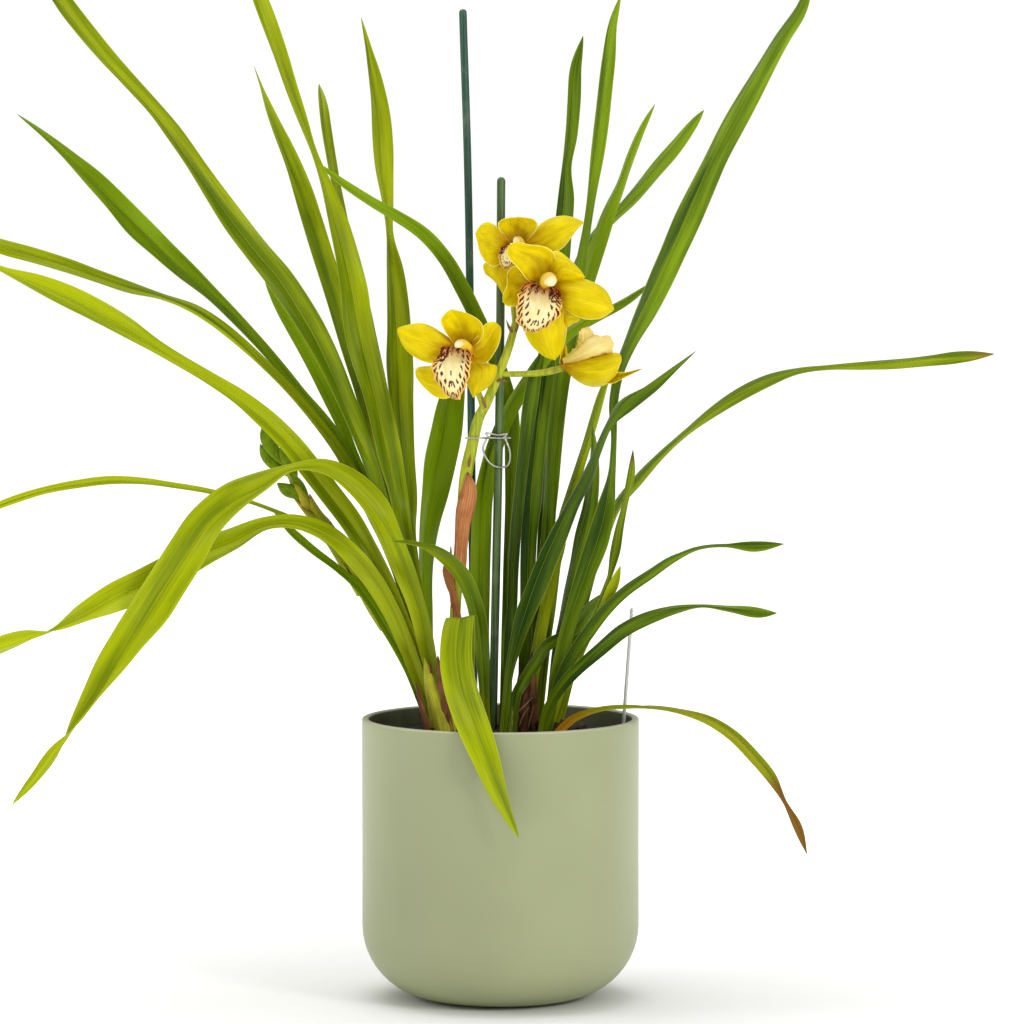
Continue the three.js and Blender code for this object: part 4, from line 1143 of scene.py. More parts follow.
def papery(name, dark, light, vein):
    """Dry plant skin: fine long fibres, blotches, and darker veins along it."""
    f = Finish(name, Specular_IOR_Level=0.3)
    u, v = f.attribute("place")[:2]
    fibre = f.noise(f.vector(v * PAPER["fibres"], u * 3, 0), 1.0, 4)
    blotch = f.noise(f.object_place(), PAPER["blotches"], 3)
    veins = (v * PAPER["veins"]).stripes()
    colour = f.mix(fibre.step(0.3, 0.7), dark, light)
    colour = f.mix(blotch.step(*PAPER["blotched"]) * PAPER["blotch_share"], colour, vein)
    colour = f.mix(veins.step(0.7, 1.0) * PAPER["vein_share"], colour, vein)
    return f.show(colour, PAPER["gloss"] + PAPER["dulled"] * fibre, fibre + veins * 0.5,
                  PAPER["bump"])


def bract_mesh():
    """Each bract is a small pointed blade, half = width * sin(pi u^0.6), curled inwards."""
    made = []
    for rows, width in BRACTS:
        line = run_through(rows, BRACT["per_span"])
        u = np.clip(np.linspace(0, 1, len(line)), *BRACT["reach"])
        half = width * MM * np.sin(np.pi * u**BRACT["power"])
        made.append(blade("bract", line, half, BRACT["curl"], BRACT["thick"]))
    return joined("bract", made)


piece("stem_bracts", bract_mesh(),
      papery("dry_bract", srgb(156, 96, 48), srgb(210, 158, 100), srgb(120, 62, 30)),
      "sheath")

# %% [markdown]
# ## Papery sheaths
# Two dry sheaths still hold to the stem, like strips of thin brown paper rolled round it.
# Each is a blade bent round the stem's own axis: it lies on the stem as a point at its top,
# reaches nearly the whole way round lower down, and stands a little off where it swells.

# %% Sheaths
UPPER_SHEATH = [[467.4, 472, -5, 3.5, 0.06], [468.4, 481, -5, 4.6, 0.9],
                [468.6, 491, -5, 5.1, 1.5], [466, 506, -4.5, 5.5, 1.9],
                [463.4, 520, -4, 4.8, 2.2], [462, 535, -3.5, 4.2, 2.5],
                [460.6, 550, -3, 3.8, 2.7], [460.2, 560, -3, 3.7, 2.7],
                [460, 572, -3, 3.6, 2.2]]
LOWER_SHEATH = [[456, 546, -2, 4.4, 0.05], [455.6, 555, -2, 4.6, 0.3],
                [455, 566, -2, 7.0, 0.8], [454.4, 578, -2, 6.4, 0.75],
                [456.6, 592, -2, 4.6, 0.8], [457.6, 604, -1.6, 4.0, 1.1],
                [457.6, 618, -1.2, 3.8, 1.5]]


SHEATH = {"per_row": 8, "thick": 0.00045, "columns": 41, "crinkle": 0.00018,
          "torn_edge": 0.00025}


def sheath(name, rows, facing, seed):
    """A blade whose middle line lies on the stem, on the side it faces. Each row is
    [across, down, depth] of the axis it bends round, then its radius in mm and how far
    round it reaches to each side, as an angle. It ripples as old paper does."""
    rows = smooth(rows, SHEATH["per_row"])
    radius = rows[:, 3] * MM
    reach = rows[:, 4]
    facing = unit(np.asarray(facing, float))
    line = from_picture(rows[:, :3]) + facing * radius[:, None]
    phase = np.random.default_rng(seed).uniform(0, TURN, 2)

    def ripple(u, v):
        return (SHEATH["crinkle"] * np.sin(16 * v + 3 * u + phase[0])
                + SHEATH["torn_edge"] * np.abs(v)**3 * np.sin(30 * u + phase[1]))

    return blade(name, line, radius * reach, -reach, SHEATH["thick"], facing,
                 SHEATH["columns"], ripple)


piece("upper_sheath", sheath("upper_sheath", UPPER_SHEATH, (0.05, -1, 0), 3),
      papery("peach_paper", srgb(160, 88, 34), srgb(224, 158, 98), srgb(132, 58, 28)),
      "sheath", "sheath_upper")
piece("lower_sheath", sheath("lower_sheath", LOWER_SHEATH, (-0.72, -0.7, 0), 4),
      papery("brown_paper", srgb(150, 92, 40), srgb(206, 136, 70), srgb(96, 40, 22)),
      "sheath", "sheath_lower")

# %% [markdown]
# ## The bud spike
# A young spike leans out at the left. Its stem is wrapped in pointed green scales, each one
# folded round it and overlapping the next, and at its end five buds still point upwards
# together. A bud is a spindle with three soft ridges, where its petals meet.

# %% Bud spike
BUD_STEM = [[284, 466, 14], [297, 488, 14], [314, 514, 17], [336, 542, 27], [364, 590, 35],
            [396, 640, 37], [418, 680, 37], [434, 716, 37]]
BUD_STEM_RADII = [1.4, 2.6, 3.6, 3.6, 3.2, 3, 3, 3]
BUDS = [
    ([[262, 426, 12], [266, 438, 13], [275, 452, 14], [288, 470, 14]], 4.2),
    ([[260, 444, 20], [266, 455, 19], [276, 466, 17], [290, 478, 14]], 3.8),
    ([[280, 446, 8], [285, 455, 10], [292, 467, 12], [298, 482, 14]], 3.8),
    ([[277, 483, 14], [286, 489, 14], [297, 494, 14], [308, 504, 14]], 4.2),
    ([[287, 473, 16], [294, 480, 15], [301, 489, 14], [311, 503, 14]], 3.6),
]
SCALES = [(0.06, 0.2, 3.6, 1.5), (0.09, 0.26, 4.6, 3.4), (0.12, 0.3, 4.8, 0.6),
          (0.14, 0.4, 5.6, 2.2), (0.22, 0.52, 5.6, 4.6),
          (0.34, 0.66, 5.2, 1.2), (0.50, 0.82, 4.6, 3.6), (0.66, 0.98, 4.4, 5.4)]


BUD = {"around": 24, "reach": (0.004, 0.93), "round": 0.8, "point": 1.1, "edges": 1.5,
       "edge": 0.1, "sharp": 4, "hollow": 0.04, "stem_rings": 110, "stem_around": 20}
SCALE = {"rings": 22, "wrap": 2.7, "least_wrap": 0.5, "narrowed": 0.86, "power": 2.2,
         "upward": 0.25, "lifted": 0.25, "least_half": 0.0002, "thick": 0.0005}


def bud(rows, radius):
    """A pointed spindle, radius * sin(pi u^0.8)^1.1, with three soft edges along it."""
    line = run_through(rows)
    u = run_along(line) / run_along(line)[-1]
    spindle = np.sin(np.pi * np.clip(u, *BUD["reach"])**BUD["round"])**BUD["point"]

    def edges(s, a):
        edge = np.abs(np.cos(BUD["edges"] * a + s))**BUD["sharp"]
        return BUD["edge"] * edge - BUD["hollow"]

    grid = tube(line, radius * MM * spindle, BUD["around"], edges)
    values = tube_attributes(line, BUD["around"])
    values[..., 1] = np.sin(values[..., 1])
    return skin("bud", grid, {"place": values})


def bud_scale(line, start, end, radius, turn):
    """A pointed blade folded round the stem: its curl is nearly the whole way round at its
    foot and opens towards the tip, and it looks out in the direction turn."""
    length = run_along(line)[-1]
    points = at(line, np.linspace(end * length, start * length, SCALE["rings"]))
    u = np.linspace(0, 1, SCALE["rings"])
    wrap = SCALE["wrap"] * (1 - u)**0.5 + SCALE["least_wrap"]
    half = radius * MM * wrap * (1 - SCALE["narrowed"] * u**SCALE["power"])
    away = np.array([math.cos(turn), -math.sin(turn), SCALE["upward"]])
    forward = unit(np.gradient(points, axis=0))
    away = unit(away - forward * (forward @ away)[:, None])
    reach = radius * MM * (1 + SCALE["lifted"] * u**3)
    return blade("scale", points + away * reach[:, None],
                 np.maximum(half, SCALE["least_half"]), -wrap, SCALE["thick"],
                 tuple(away.mean(0)), trait=(turn % 1, 0, 0))


BUD_TINTS = {"dark": srgb(66, 100, 0), "light": srgb(132, 158, 16), "foot": srgb(170, 170, 50),
             "foot_share": 0.5, "point": srgb(44, 44, 14), "point_share": 0.8, "gloss": 0.4,
             "bump": 0.00015}
SCALE_TINTS = {"dark": srgb(168, 156, 24), "light": srgb(210, 196, 70), "lines": 46,
               "line": srgb(132, 118, 24), "line_share": 0.25, "low": srgb(130, 144, 6),
               "low_share": 0.85, "low_heights": (0.31, 0.275), "edge": srgb(150, 96, 40),
               "foot": srgb(126, 84, 36), "gloss": 0.42, "bump": 0.00015}


def bud_finish():
    """Dark green bud: paler towards its foot, with a brown point."""
    t = BUD_TINTS
    f = Finish("bud_finish", IOR=1.42, Specular_IOR_Level=0.12)
    u, v = f.attribute("place")[:2]
    fibre = f.noise(f.vector(v * 6, u * 2, 0), 1.0, 3)
    patches = f.noise(f.object_place(), 160, 2)
    colour = f.mix((fibre * 0.6 + patches * 0.6).step(0.35, 0.85), t["dark"], t["light"])
    colour = f.mix(u.step(0.55, 1.0) * t["foot_share"], colour, t["foot"])
    colour = f.mix(u.step(0.1, 0.0) * t["point_share"], colour, t["point"])
    return f.show(colour, t["gloss"] + 0.2 * fibre, fibre, t["bump"])


def scale_skin():
    """Yellow-green scale with a brown dried edge and fine lines along it. Low on the spike
    it is greener and its edge less dry."""
    t = SCALE_TINTS
    f = Finish("bud_scale_skin", IOR=1.42, Specular_IOR_Level=0.12)
    u, v = f.attribute("place")[:2]
    tone = f.attribute("trait")[0]
    fibre = f.noise(f.vector(v * 18, u * 2, tone * 9), 1.0, 3)
    lines = (v * t["lines"]).stripes()
    low = f.place_parts()[2].step(*t["low_heights"])
    colour = f.mix(fibre.step(0.3, 0.7), t["dark"], t["light"])
    colour = f.mix(low * t["low_share"], colour, t["low"])
    colour = f.mix(lines.step(0.6, 1.0) * t["line_share"], colour, t["line"])
    edge = (v.size() + 0.25 * fibre + (u - 0.5) * 0.3).step(1.02, 1.16)
    colour = f.mix(edge * (0.8 - 0.6 * low), colour, t["edge"])
    colour = f.mix(u.step(0.8, 1.0) * (0.7 - 0.5 * low), colour, t["foot"])
    return f.show(colour, t["gloss"] + 0.2 * fibre, fibre + lines * 0.5, t["bump"])


def bud_stem_mesh():
    line = rooted(run_through(BUD_STEM))
    points = at(line, np.linspace(0, run_along(line)[-1], BUD["stem_rings"]))
    grid = tube(points, eased(points, BUD_STEM_RADII) * MM, BUD["stem_around"])
    return skin("bud_stem", grid, {"place": tube_attributes(points, BUD["stem_around"])})


bud_line = run_through(BUD_STEM)
piece("bud_stem", bud_stem_mesh(),
      plant_skin("bud_stem_skin", srgb(116, 134, 16), srgb(160, 170, 44),
                 srgb(150, 130, 40)), "buds", "bud_spike")
piece("green_buds", joined("buds", [bud(*row) for row in BUDS]), bud_finish(), "buds")
piece("bud_scales", joined("bud_scales", [bud_scale(bud_line, *row) for row in SCALES]),
      scale_skin(), "buds")

# %% [markdown]
# ## Shoot bases
# At the crown the shoots swell where their outer leaves have died back. What is left is a
# green or brown bulb in dry, papery scales.

# %% Shoot bases
LEFT_BASE = [[424, 657, -14], [430, 680, -16], [439, 706, -17], [444, 728, -17]]
RIGHT_BASE = [[531, 655, 0], [529, 680, 0], [525, 706, 0], [523, 728, 0]]


BULB = {"per_span": 12, "sink": 0.008, "around": 44, "least": 0.2, "folds": (0.05, 5, 2),
        "fine_folds": (0.03, 13, -4), "least_depth": 0.3}
TORN = {"per_span": 8, "narrowed": 0.9, "ragged": 0.2, "rags": 23, "curl": -0.9,
        "thick": 0.0005, "crinkle": 0.0003}


def shoot_base(name, rows, radii):
    """A bulb along the rows with long soft folds, deeper towards its foot. Folds are
    (depth, how many round, how far they turn on the way down)."""
    line = rooted(run_through(rows, BULB["per_span"]), BULB["sink"])

    def folds(u, a):
        waves = sum(depth * np.sin(count * a + turn * u)
                    for depth, count, turn in (BULB["folds"], BULB["fine_folds"]))
        return waves * (BULB["least_depth"] + u)

    radius = np.maximum(eased(line, radii), BULB["least"]) * MM
    grid = tube(line, radius, BULB["around"], folds)
    values = tube_attributes(line, BULB["around"])
    values[..., 1] = np.sin(values[..., 1])
    return skin(name, grid, {"place": values})


def remnants(rows):
    """Torn scales left on a base. Each is a pointed blade, half = width * (1 - 0.9 u^4) *
    (1 + 0.2 sin(23 u + width)), given by the places its middle shows at, its width, and
    the angle it faces: 0 towards the viewer and pi/2 to the right."""
    made = []
    for line, width, turn in rows:
        line = run_through(line, TORN["per_span"])[::-1]
        u = np.linspace(0, 1, len(line))
        ragged = 1 + TORN["ragged"] * np.sin(TORN["rags"] * u + width)
        half = width * MM * (1 - TORN["narrowed"] * u**4) * ragged
        facing = (math.sin(turn), -math.cos(turn), 0)
        made.append(blade("remnant", line, half, TORN["curl"], TORN["thick"], facing,
                          ripple=lambda s, v: TORN["crinkle"] * np.sin(9 * v + 7 * s)))
    return joined("remnants", made)


LEFT_REMNANTS = [
    ([[416, 682, -20], [419.6, 700, -22], [423.4, 716, -23], [428, 735, -22]], 2.6, -0.7),
    ([[437.6, 656, -18], [440.6, 674, -21], [444.6, 698, -23], [449, 735, -23]], 3.0, 0.5),
    ([[446, 684, -20], [449, 704, -22], [454, 735, -22]], 2.6, 0.9),
    ([[431.2, 664, -19], [430.8, 668, -20], [431.4, 673, -20]], 0.9, 0.0)]
RIGHT_REMNANTS = [
    ([[520, 668, -3], [517.6, 690, -7], [515.6, 712, -8], [515, 735, -8]], 2.6, -0.6),
    ([[531.6, 652, -4], [534, 682, -7], [535.6, 708, -8], [535, 735, -8]], 3.0, 0.5),
    ([[526, 690, -7], [525, 708, -9], [524, 735, -9]], 3.4, 0.0)]
FIBRES = [[[517, 713, -12], [524, 706, -12.6], [533.4, 697, -11]],
          [[519, 727, -12], [523, 716, -12.6], [529, 707, -12]],
          [[528, 730, -12], [531, 716, -12], [534, 706, -11]]]
GREEN_POINTS = [([[512, 700, -11], [511, 714, -12], [509.6, 735, -12]], 1.8, 0.0),
                ([[506, 706, -9], [505, 718, -10], [504, 735, -10]], 1.5, -0.4)]

piece("left_shoot_base", shoot_base("left_shoot_base", LEFT_BASE, [0.2, 4.4, 7.2, 8.0]),
      papery("green_base", srgb(168, 172, 14), srgb(216, 210, 62), srgb(150, 140, 30)),
      "shoot_green", "shoot_base_left")
piece("right_shoot_base", shoot_base("right_shoot_base", RIGHT_BASE, [0.2, 4.5, 7, 6.5]),
      papery("maroon_base", srgb(96, 46, 30), srgb(170, 104, 64), srgb(60, 24, 18)),
      "shoot_brown", "shoot_base_right")
torn = papery("torn_scale", srgb(104, 58, 32), srgb(182, 124, 76), srgb(56, 26, 18))
piece("left_remnants", remnants(LEFT_REMNANTS), torn, "shoot_brown")
piece("right_remnants", remnants(RIGHT_REMNANTS), torn, "shoot_brown")
fibres = [stalk(rows, [0.2, 0.45, 0.2], 0, 8) for rows in FIBRES]
piece("pale_fibres", joined("fibres", fibres),
      papery("pale_fibre", srgb(170, 136, 104), srgb(220, 196, 164), srgb(120, 84, 60)),
      "shoot_brown")
piece("green_points", remnants(GREEN_POINTS),
      papery("shoot_point", srgb(138, 152, 50), srgb(190, 196, 100), srgb(116, 110, 40)),
      "shoot_green")

# %% [markdown]
# ## The flowers
# Each flower has five waxy petals and sepals round a short arched column, with a spotted
# lip below it. They turn and curl each in their own way, so a regular star of copies would
# look wrong. Each petal is laid out one by one instead, as a dressmaker lays out a panel: a
# few rows from its base to its tip, and in each row where its two margins show in the
# picture, how deep they lie, and how deep the middle between them lies. The surface runs
# through those rows smoothly and bows from margin to margin. A lip is laid out in the same
# way, after how far its margin waves in millimetres and which of its side lobes is stained.
# A column is a bar: the places its line runs through, and its radii in millimetres.

# %% A petal from its margins
PANEL = {"per_row": 8, "columns": 27, "petal": 0.0011, "lip": 0.001, "narrowest": 0.35,
         "spread": 0.92, "thin_below": 0.002, "thinned": 0.75, "thin_power": 2.5,
         "thinnest": 0.00008}


def panel(rows, thick, ripple, bow_power=2.0, trait=(0, 0, 0)):
    """A closed thin blade. Each row is [left across, left down, right across, right down,
    depth of the margins, depth of the middle]. With v from -1 to 1, a point is
    middle + (right - left) / 2 * v + (mean of the margins - middle) * |v|^bow_power,
    moved by ripple(u, v) along the surface's normal."""
    rows = smooth(rows, PANEL["per_row"])
    rows[:, 0] -= PANEL["narrowest"] * (rows[:, 0] == rows[:, 2])
    left = from_picture(rows[:, [0, 1, 4]])
    right = from_picture(rows[:, [2, 3, 4]])
    centre = (rows[:, 0:2] + rows[:, 2:4]) / 2
    middle = from_picture(np.column_stack([centre, rows[:, 5]]))
    run = run_along(middle)
    u = (run / run[-1])[:, None]
    v = np.sin(np.linspace(-np.pi / 2, np.pi / 2, PANEL["columns"]) * PANEL["spread"])
    v = (v / v[-1])[None, :]
    bow = ((left + right) / 2 - middle)[:, None] * (np.abs(v)**bow_power)[..., None]
    surface = middle[:, None] + ((right - left) / 2)[:, None] * v[..., None] + bow
    normal = unit(np.cross(np.gradient(surface, axis=0), np.gradient(surface, axis=1)))
    normal[-1] = normal[-2]
    if normal[..., 1].mean() > 0:
        normal = -normal
    surface = surface + normal * ripple(u, v)[..., None]
    half = np.linalg.norm(right - left, axis=-1)[:, None] / 2
    thin = (np.minimum(1, half / PANEL["thin_below"])
            * (1 - PANEL["thinned"] * np.abs(v)**PANEL["thin_power"]))
    step = np.maximum(thick * thin, PANEL["thinnest"])[..., None] / 2
    grid = np.concatenate([surface + normal * step, (surface - normal * step)[:, ::-1]], 1)
    place = np.zeros_like(grid)
    place[..., 0] = u
    place[..., 1] = np.concatenate([v, v[:, ::-1]], 1)
    place[..., 2] = np.repeat([1.0, 0.0], PANEL["columns"])[None, :]
    return skin("panel", grid, {"place": place, "trait": np.zeros_like(grid) + trait})


# %% Where the petals lie
PETALS = {
    "left": [
        [[453, 342, 455, 350, -20, -21], [446, 335, 443, 362, -23, -27],
         [434, 327, 428, 362.5, -24, -30], [422, 323.6, 416, 358.5, -24, -30],
         [409, 325, 405, 348.5, -23, -27], [399, 327.5, 398.4, 335, -23, -24],
         [397, 329.5, 397, 329.5, -22, -22]],
        [[455, 346, 468, 350, -22, -20], [449, 337.5, 478, 343, -27, -22],
         [443.6, 328, 484, 333, -32, -25], [441, 320, 480.5, 323, -36, -29],
         [443, 315, 470, 315, -38, -33], [447, 311.6, 460, 311, -38, -36],
         [451, 309.5, 451, 309.5, -37, -37]],
        [[464, 347, 468, 359, -19, -20], [472, 341, 480, 363.5, -24, -22],
         [479, 333, 490, 360.5, -29, -23], [484, 326, 497, 350, -31, -25],
         [489, 322.4, 500, 339, -31, -27], [495, 322, 501.4, 331, -29, -28],
         [501, 326.6, 501, 326.6, -27, -27]],
        [[452, 358, 460, 362, -18, -19], [443, 363, 460, 390, -17, -21],
         [431, 366, 448, 397.6, -16, -21], [423, 366, 436, 396, -16, -20],
         [418, 367, 425, 388, -16, -19], [415.8, 370, 418, 380, -16, -17],
         [415.5, 374.5, 415.5, 374.5, -16, -16]],
        [[464, 352, 474, 357, -17, -19], [465, 364, 489, 363.5, -14, -22],
         [466, 374, 497, 366, -13, -24], [467, 383, 495, 378, -13, -23],
         [469, 390, 486, 388.5, -14, -20], [472, 396, 478, 393.5, -15, -17],
         [473.4, 398, 473.4, 398, -16, -16]]],
    "front": [
        [[540, 285, 552, 281, -29, -27], [529, 281, 556, 266, -32, -29],
         [521, 272.6, 553, 252.5, -37, -32], [514, 264.5, 541, 245.2, -41, -35],
         [509, 257.5, 528, 243.6, -43, -38], [507, 251.6, 517, 241.8, -42, -40],
         [508, 245.6, 508, 245.6, -41, -41]],
        [[548, 277, 553, 287, -27, -28], [550, 263, 560, 284, -28, -33],
         [555, 252, 567, 281.5, -29, -36], [566, 256, 574, 280.4, -29, -36],
         [577, 265.6, 580, 279.6, -29, -33], [585.6, 277.6, 585.6, 277.6, -29, -29]],
        [[552, 284, 556, 299, -28, -31], [562, 280, 562, 306.5, -29, -37],
         [575, 278.4, 569, 312.4, -29, -40], [588, 279.6, 580, 317.6, -28, -40],
         [600, 284.6, 592, 319.4, -26, -37], [608, 293.4, 603, 317.8, -26, -32],
         [614.4, 309.8, 614.4, 309.8, -26, -26]],
        [[545, 300, 562, 298, -25, -29], [530, 312, 568, 306, -20, -31],
         [524.4, 326, 569, 319, -18, -31], [527, 337, 567.6, 331, -18, -30],
         [534, 348, 565, 341.4, -19, -28], [544, 356.6, 561, 351.6, -20, -25],
         [555, 360.4, 555, 360.4, -21, -21]],
        [[538, 281, 540, 294, -26, -26], [526, 272, 530, 300, -28, -24],
         [515, 265, 524, 306, -30, -24], [507, 272, 517, 306.6, -30, -25],
         [507, 285, 512, 306.8, -30, -27], [503, 295, 507, 306, -29, -28],
         [502.6, 302, 502.6, 302, -28, -28]],
        [[560, 306, 562, 322, -22, -24], [567, 308.6, 568, 327, -20, -23],
         [574, 313, 575, 323.6, -19, -21], [581, 319, 581, 319, -19, -19]]],
    "back": [
        [[510, 241, 508, 252, -10, -11], [503, 232, 502, 262, -14, -12],
         [496, 225.4, 494, 267.4, -16, -12], [488, 222.4, 487, 264, -16, -11],
         [481, 225, 481, 254, -14, -11], [477, 230, 478, 243, -13, -12],
         [475.4, 233.6, 475.4, 233.6, -12, -12]],
        [[510, 243, 524, 243, -11, -10], [503, 234.6, 531, 237, -14, -10],
         [498.4, 227.6, 536, 230, -18, -11], [498, 222.4, 537, 223.6, -21, -13],
         [503, 219.4, 533, 218.8, -22, -16], [510, 218, 527, 217.8, -21, -18],
         [518, 217.4, 518, 217.4, -20, -20]],
        [[522, 239, 528, 251, -9, -11], [533, 232, 540, 254.4, -8, -13],
         [542, 222.6, 552, 252.4, -8, -15], [552, 217, 562, 247.6, -8, -15],
         [564, 215.8, 571, 238.4, -8, -14], [575, 218.4, 578, 229, -9, -12],
         [584.4, 222.4, 584.4, 222.4, -10, -10]],
        [[504, 254, 514, 256, -9, -10], [491, 261, 513, 264, -8, -12],
         [483, 264, 513, 271, -8, -13], [485, 273, 513, 279, -8, -12],
         [493, 279.4, 512, 287, -8, -11], [499, 287.6, 509, 292.4, -9, -10],
         [503.4, 296.6, 503.4, 296.6, -9, -9]],
        [[516, 253, 524, 249, -8, -9], [518, 262, 534, 251, -7, -10],
         [524, 270, 543, 257, -7, -10], [534, 273, 549, 263, -7, -9],
         [547, 272, 547, 272, -8, -8]]],
    "side": [
        [[564, 362, 565, 370, -14, -17], [574, 361.4, 571, 376.4, -13, -24],
         [586, 357.6, 580, 382.4, -12, -28], [598, 354, 592, 385.8, -12, -29],
         [608, 352.4, 605, 384.4, -13, -28], [616, 352.4, 615.6, 376.4, -15, -24],
         [620.4, 355, 619.6, 366, -16, -20], [621.4, 360, 621.4, 360, -18, -18]],
        [[600, 372, 598, 382, -15, -11], [612, 372, 610, 383.4, -17, -11],
         [622, 371.4, 619, 379.8, -18, -12], [632, 370.4, 629, 375.8, -17, -13],
         [643.6, 368.4, 643.6, 368.4, -14.5, -14.5]],
        [[559.5, 364, 566, 366, -13, -13], [559.5, 355, 568, 356, -14, -11],
         [561, 347, 567, 349, -14, -11], [564, 341.4, 564, 341.4, -12, -12]],
        [[566, 362, 570, 371, -10, -9], [578, 352, 582, 374, -8, -5],
         [592, 347, 595, 374, -7, -2], [603, 348, 606, 369, -7, -2],
         [612, 359, 612, 359, -7, -4]],
        [[566, 368, 570, 373, -11, -11], [576, 370, 580, 380, -8, -6],
         [588, 372, 592, 383, -7, -4], [600, 374, 604, 382, -7, -5],
         [611, 378, 611, 378, -8, -8]]],
}
LIPS = {
    "left": (1.0, -1, [
        [[451, 345.5, 464, 347.5, -23, -19], [441, 347.5, 470, 351, -36, -25],
         [438.6, 356, 471, 359, -38, -29], [432, 363, 470.6, 366, -37, -36],
         [432.8, 373, 469, 377, -36, -41], [438, 385, 465.4, 386.6, -35, -43],
         [445, 394, 461.4, 395, -35, -41], [450, 397.4, 459, 398.4, -36, -39],
         [456, 399.6, 456, 399.6, -36, -36]]]),
    "front": (1.5, 1, [
        [[538, 281, 550, 285, -28, -26], [525, 284, 559, 290, -40, -29],
         [519, 293, 561, 297, -43, -35], [517.6, 302, 562, 304, -42, -42],
         [516.6, 311, 561, 311.4, -40, -47], [516.4, 319, 556, 320, -38, -48],
         [519.6, 326, 548, 325.8, -36, -46], [525, 330, 541, 330, -35, -42],
         [533.6, 331.8, 533.6, 331.8, -36, -36]]]),
    "back": (0.7, -1, [
        [[507, 244, 514, 245, -14, -12], [500.6, 248, 516, 250, -19, -14],
         [498.8, 256, 516, 257, -19, -17], [500, 263.4, 513, 264, -18, -19],
         [505.6, 270.4, 505.6, 270.4, -17, -17]]]),
    "side": (0.9, 0, [
        [[562, 359, 566, 366, -15, -16], [570, 353, 578, 363, -13, -22],
         [577, 346, 592, 359, -12, -26], [583, 337.6, 604, 356, -13, -26],
         [590, 334.4, 612.4, 352, -15, -24], [599, 335.6, 613, 343.6, -18, -22],
         [610, 335.6, 610, 335.6, -20, -20]],
        [[576, 348, 592, 342, -14, -18], [579, 338, 594, 338, -16, -19],
         [579.6, 331, 593, 332, -19, -18], [588, 326.4, 588, 326.4, -19, -19]]]),
}
COLUMNS = {
    "left": ([[472, 358, -18], [469, 349, -26], [462, 343.4, -33], [455, 345.8, -37]],
             [2.4, 2.4, 2.8, 2.7]),
    "front": ([[545, 289, -26], [545.6, 283, -33], [549, 279, -39], [552.6, 284.6, -43.5]],
              [3.0, 3.6, 4.4, 3.9]),
    "back": ([[520, 249, -9], [520.6, 244, -14], [518, 240.6, -18], [513.6, 242, -20]],
             [2.2, 2.3, 2.8, 2.7]),
    "side": ([[564, 367, -14], [570, 362, -16], [577, 357, -18], [584, 352, -20]],
             [2.2, 2.4, 2.6, 2.4]),
}


# %% [markdown]
# ## The petals
# A petal is thick and waxy, with a groove along its midrib and fine veins that wander to its
# tip. A few slow waves along its normal make it uneven, each petal with its own phases. It
# could be sculpted instead, but not then changed by a number.

# %% Petals
SHADED = {"left": [0, 0.75, 0.2, 0.1, 0.3], "front": [0.55, 0.2, 0.1, 0.1, 0.6, 0],
          "back": [0.1, 0.8, 0.1, 0.3, 0.2], "side": [0.2, 0.1, 0.9, 0.4, 0.4]}


PETAL = {"wave": 0.00055, "groove": 0.00045, "groove_width": 0.08, "sway": 0.00025,
         "dimple": 0.00012}


def petal(rows, seed, shaded):
    """A petal's ripple: each margin waves slowly, the midrib lies in a slight groove, and
    the whole has a gentle unevenness."""
    rng = np.random.default_rng(seed)
    phase = rng.uniform(0, TURN, 4)

    def ripple(u, v):
        middle_part = np.sin(np.pi * np.clip(u, 0, 1))
        return middle_part * (
            PETAL["wave"] * np.abs(v)**3 * np.sin(8 * u + phase[0] + 2 * np.sign(v))
            - PETAL["groove"] * np.exp(-(v / PETAL["groove_width"])**2)
            + PETAL["sway"] * np.sin(3 * v + 5 * u + phase[1])
            + PETAL["dimple"] * np.sin(9 * v + 2 * u + phase[2]))

    return panel(rows, PANEL["petal"], ripple, trait=(rng.uniform(0, 1), shaded, 0))


WAXY = {"dark": srgb(214, 190, 0), "light": srgb(236, 214, 6), "veins": 52,
        "vein": srgb(184, 152, 4), "vein_share": 0.16, "base": srgb(170, 112, 0),
        "base_share": 0.8, "base_reach": (0.46, 0.02), "heart": srgb(158, 118, 0),
        "heart_share": 0.85, "midrib": srgb(176, 142, 4), "midrib_share": 0.25,
        "rim": srgb(250, 240, 130), "rim_share": 0.75, "back": srgb(214, 200, 60),
        "back_share": 0.3, "gloss": 0.42, "bump": 0.0001}


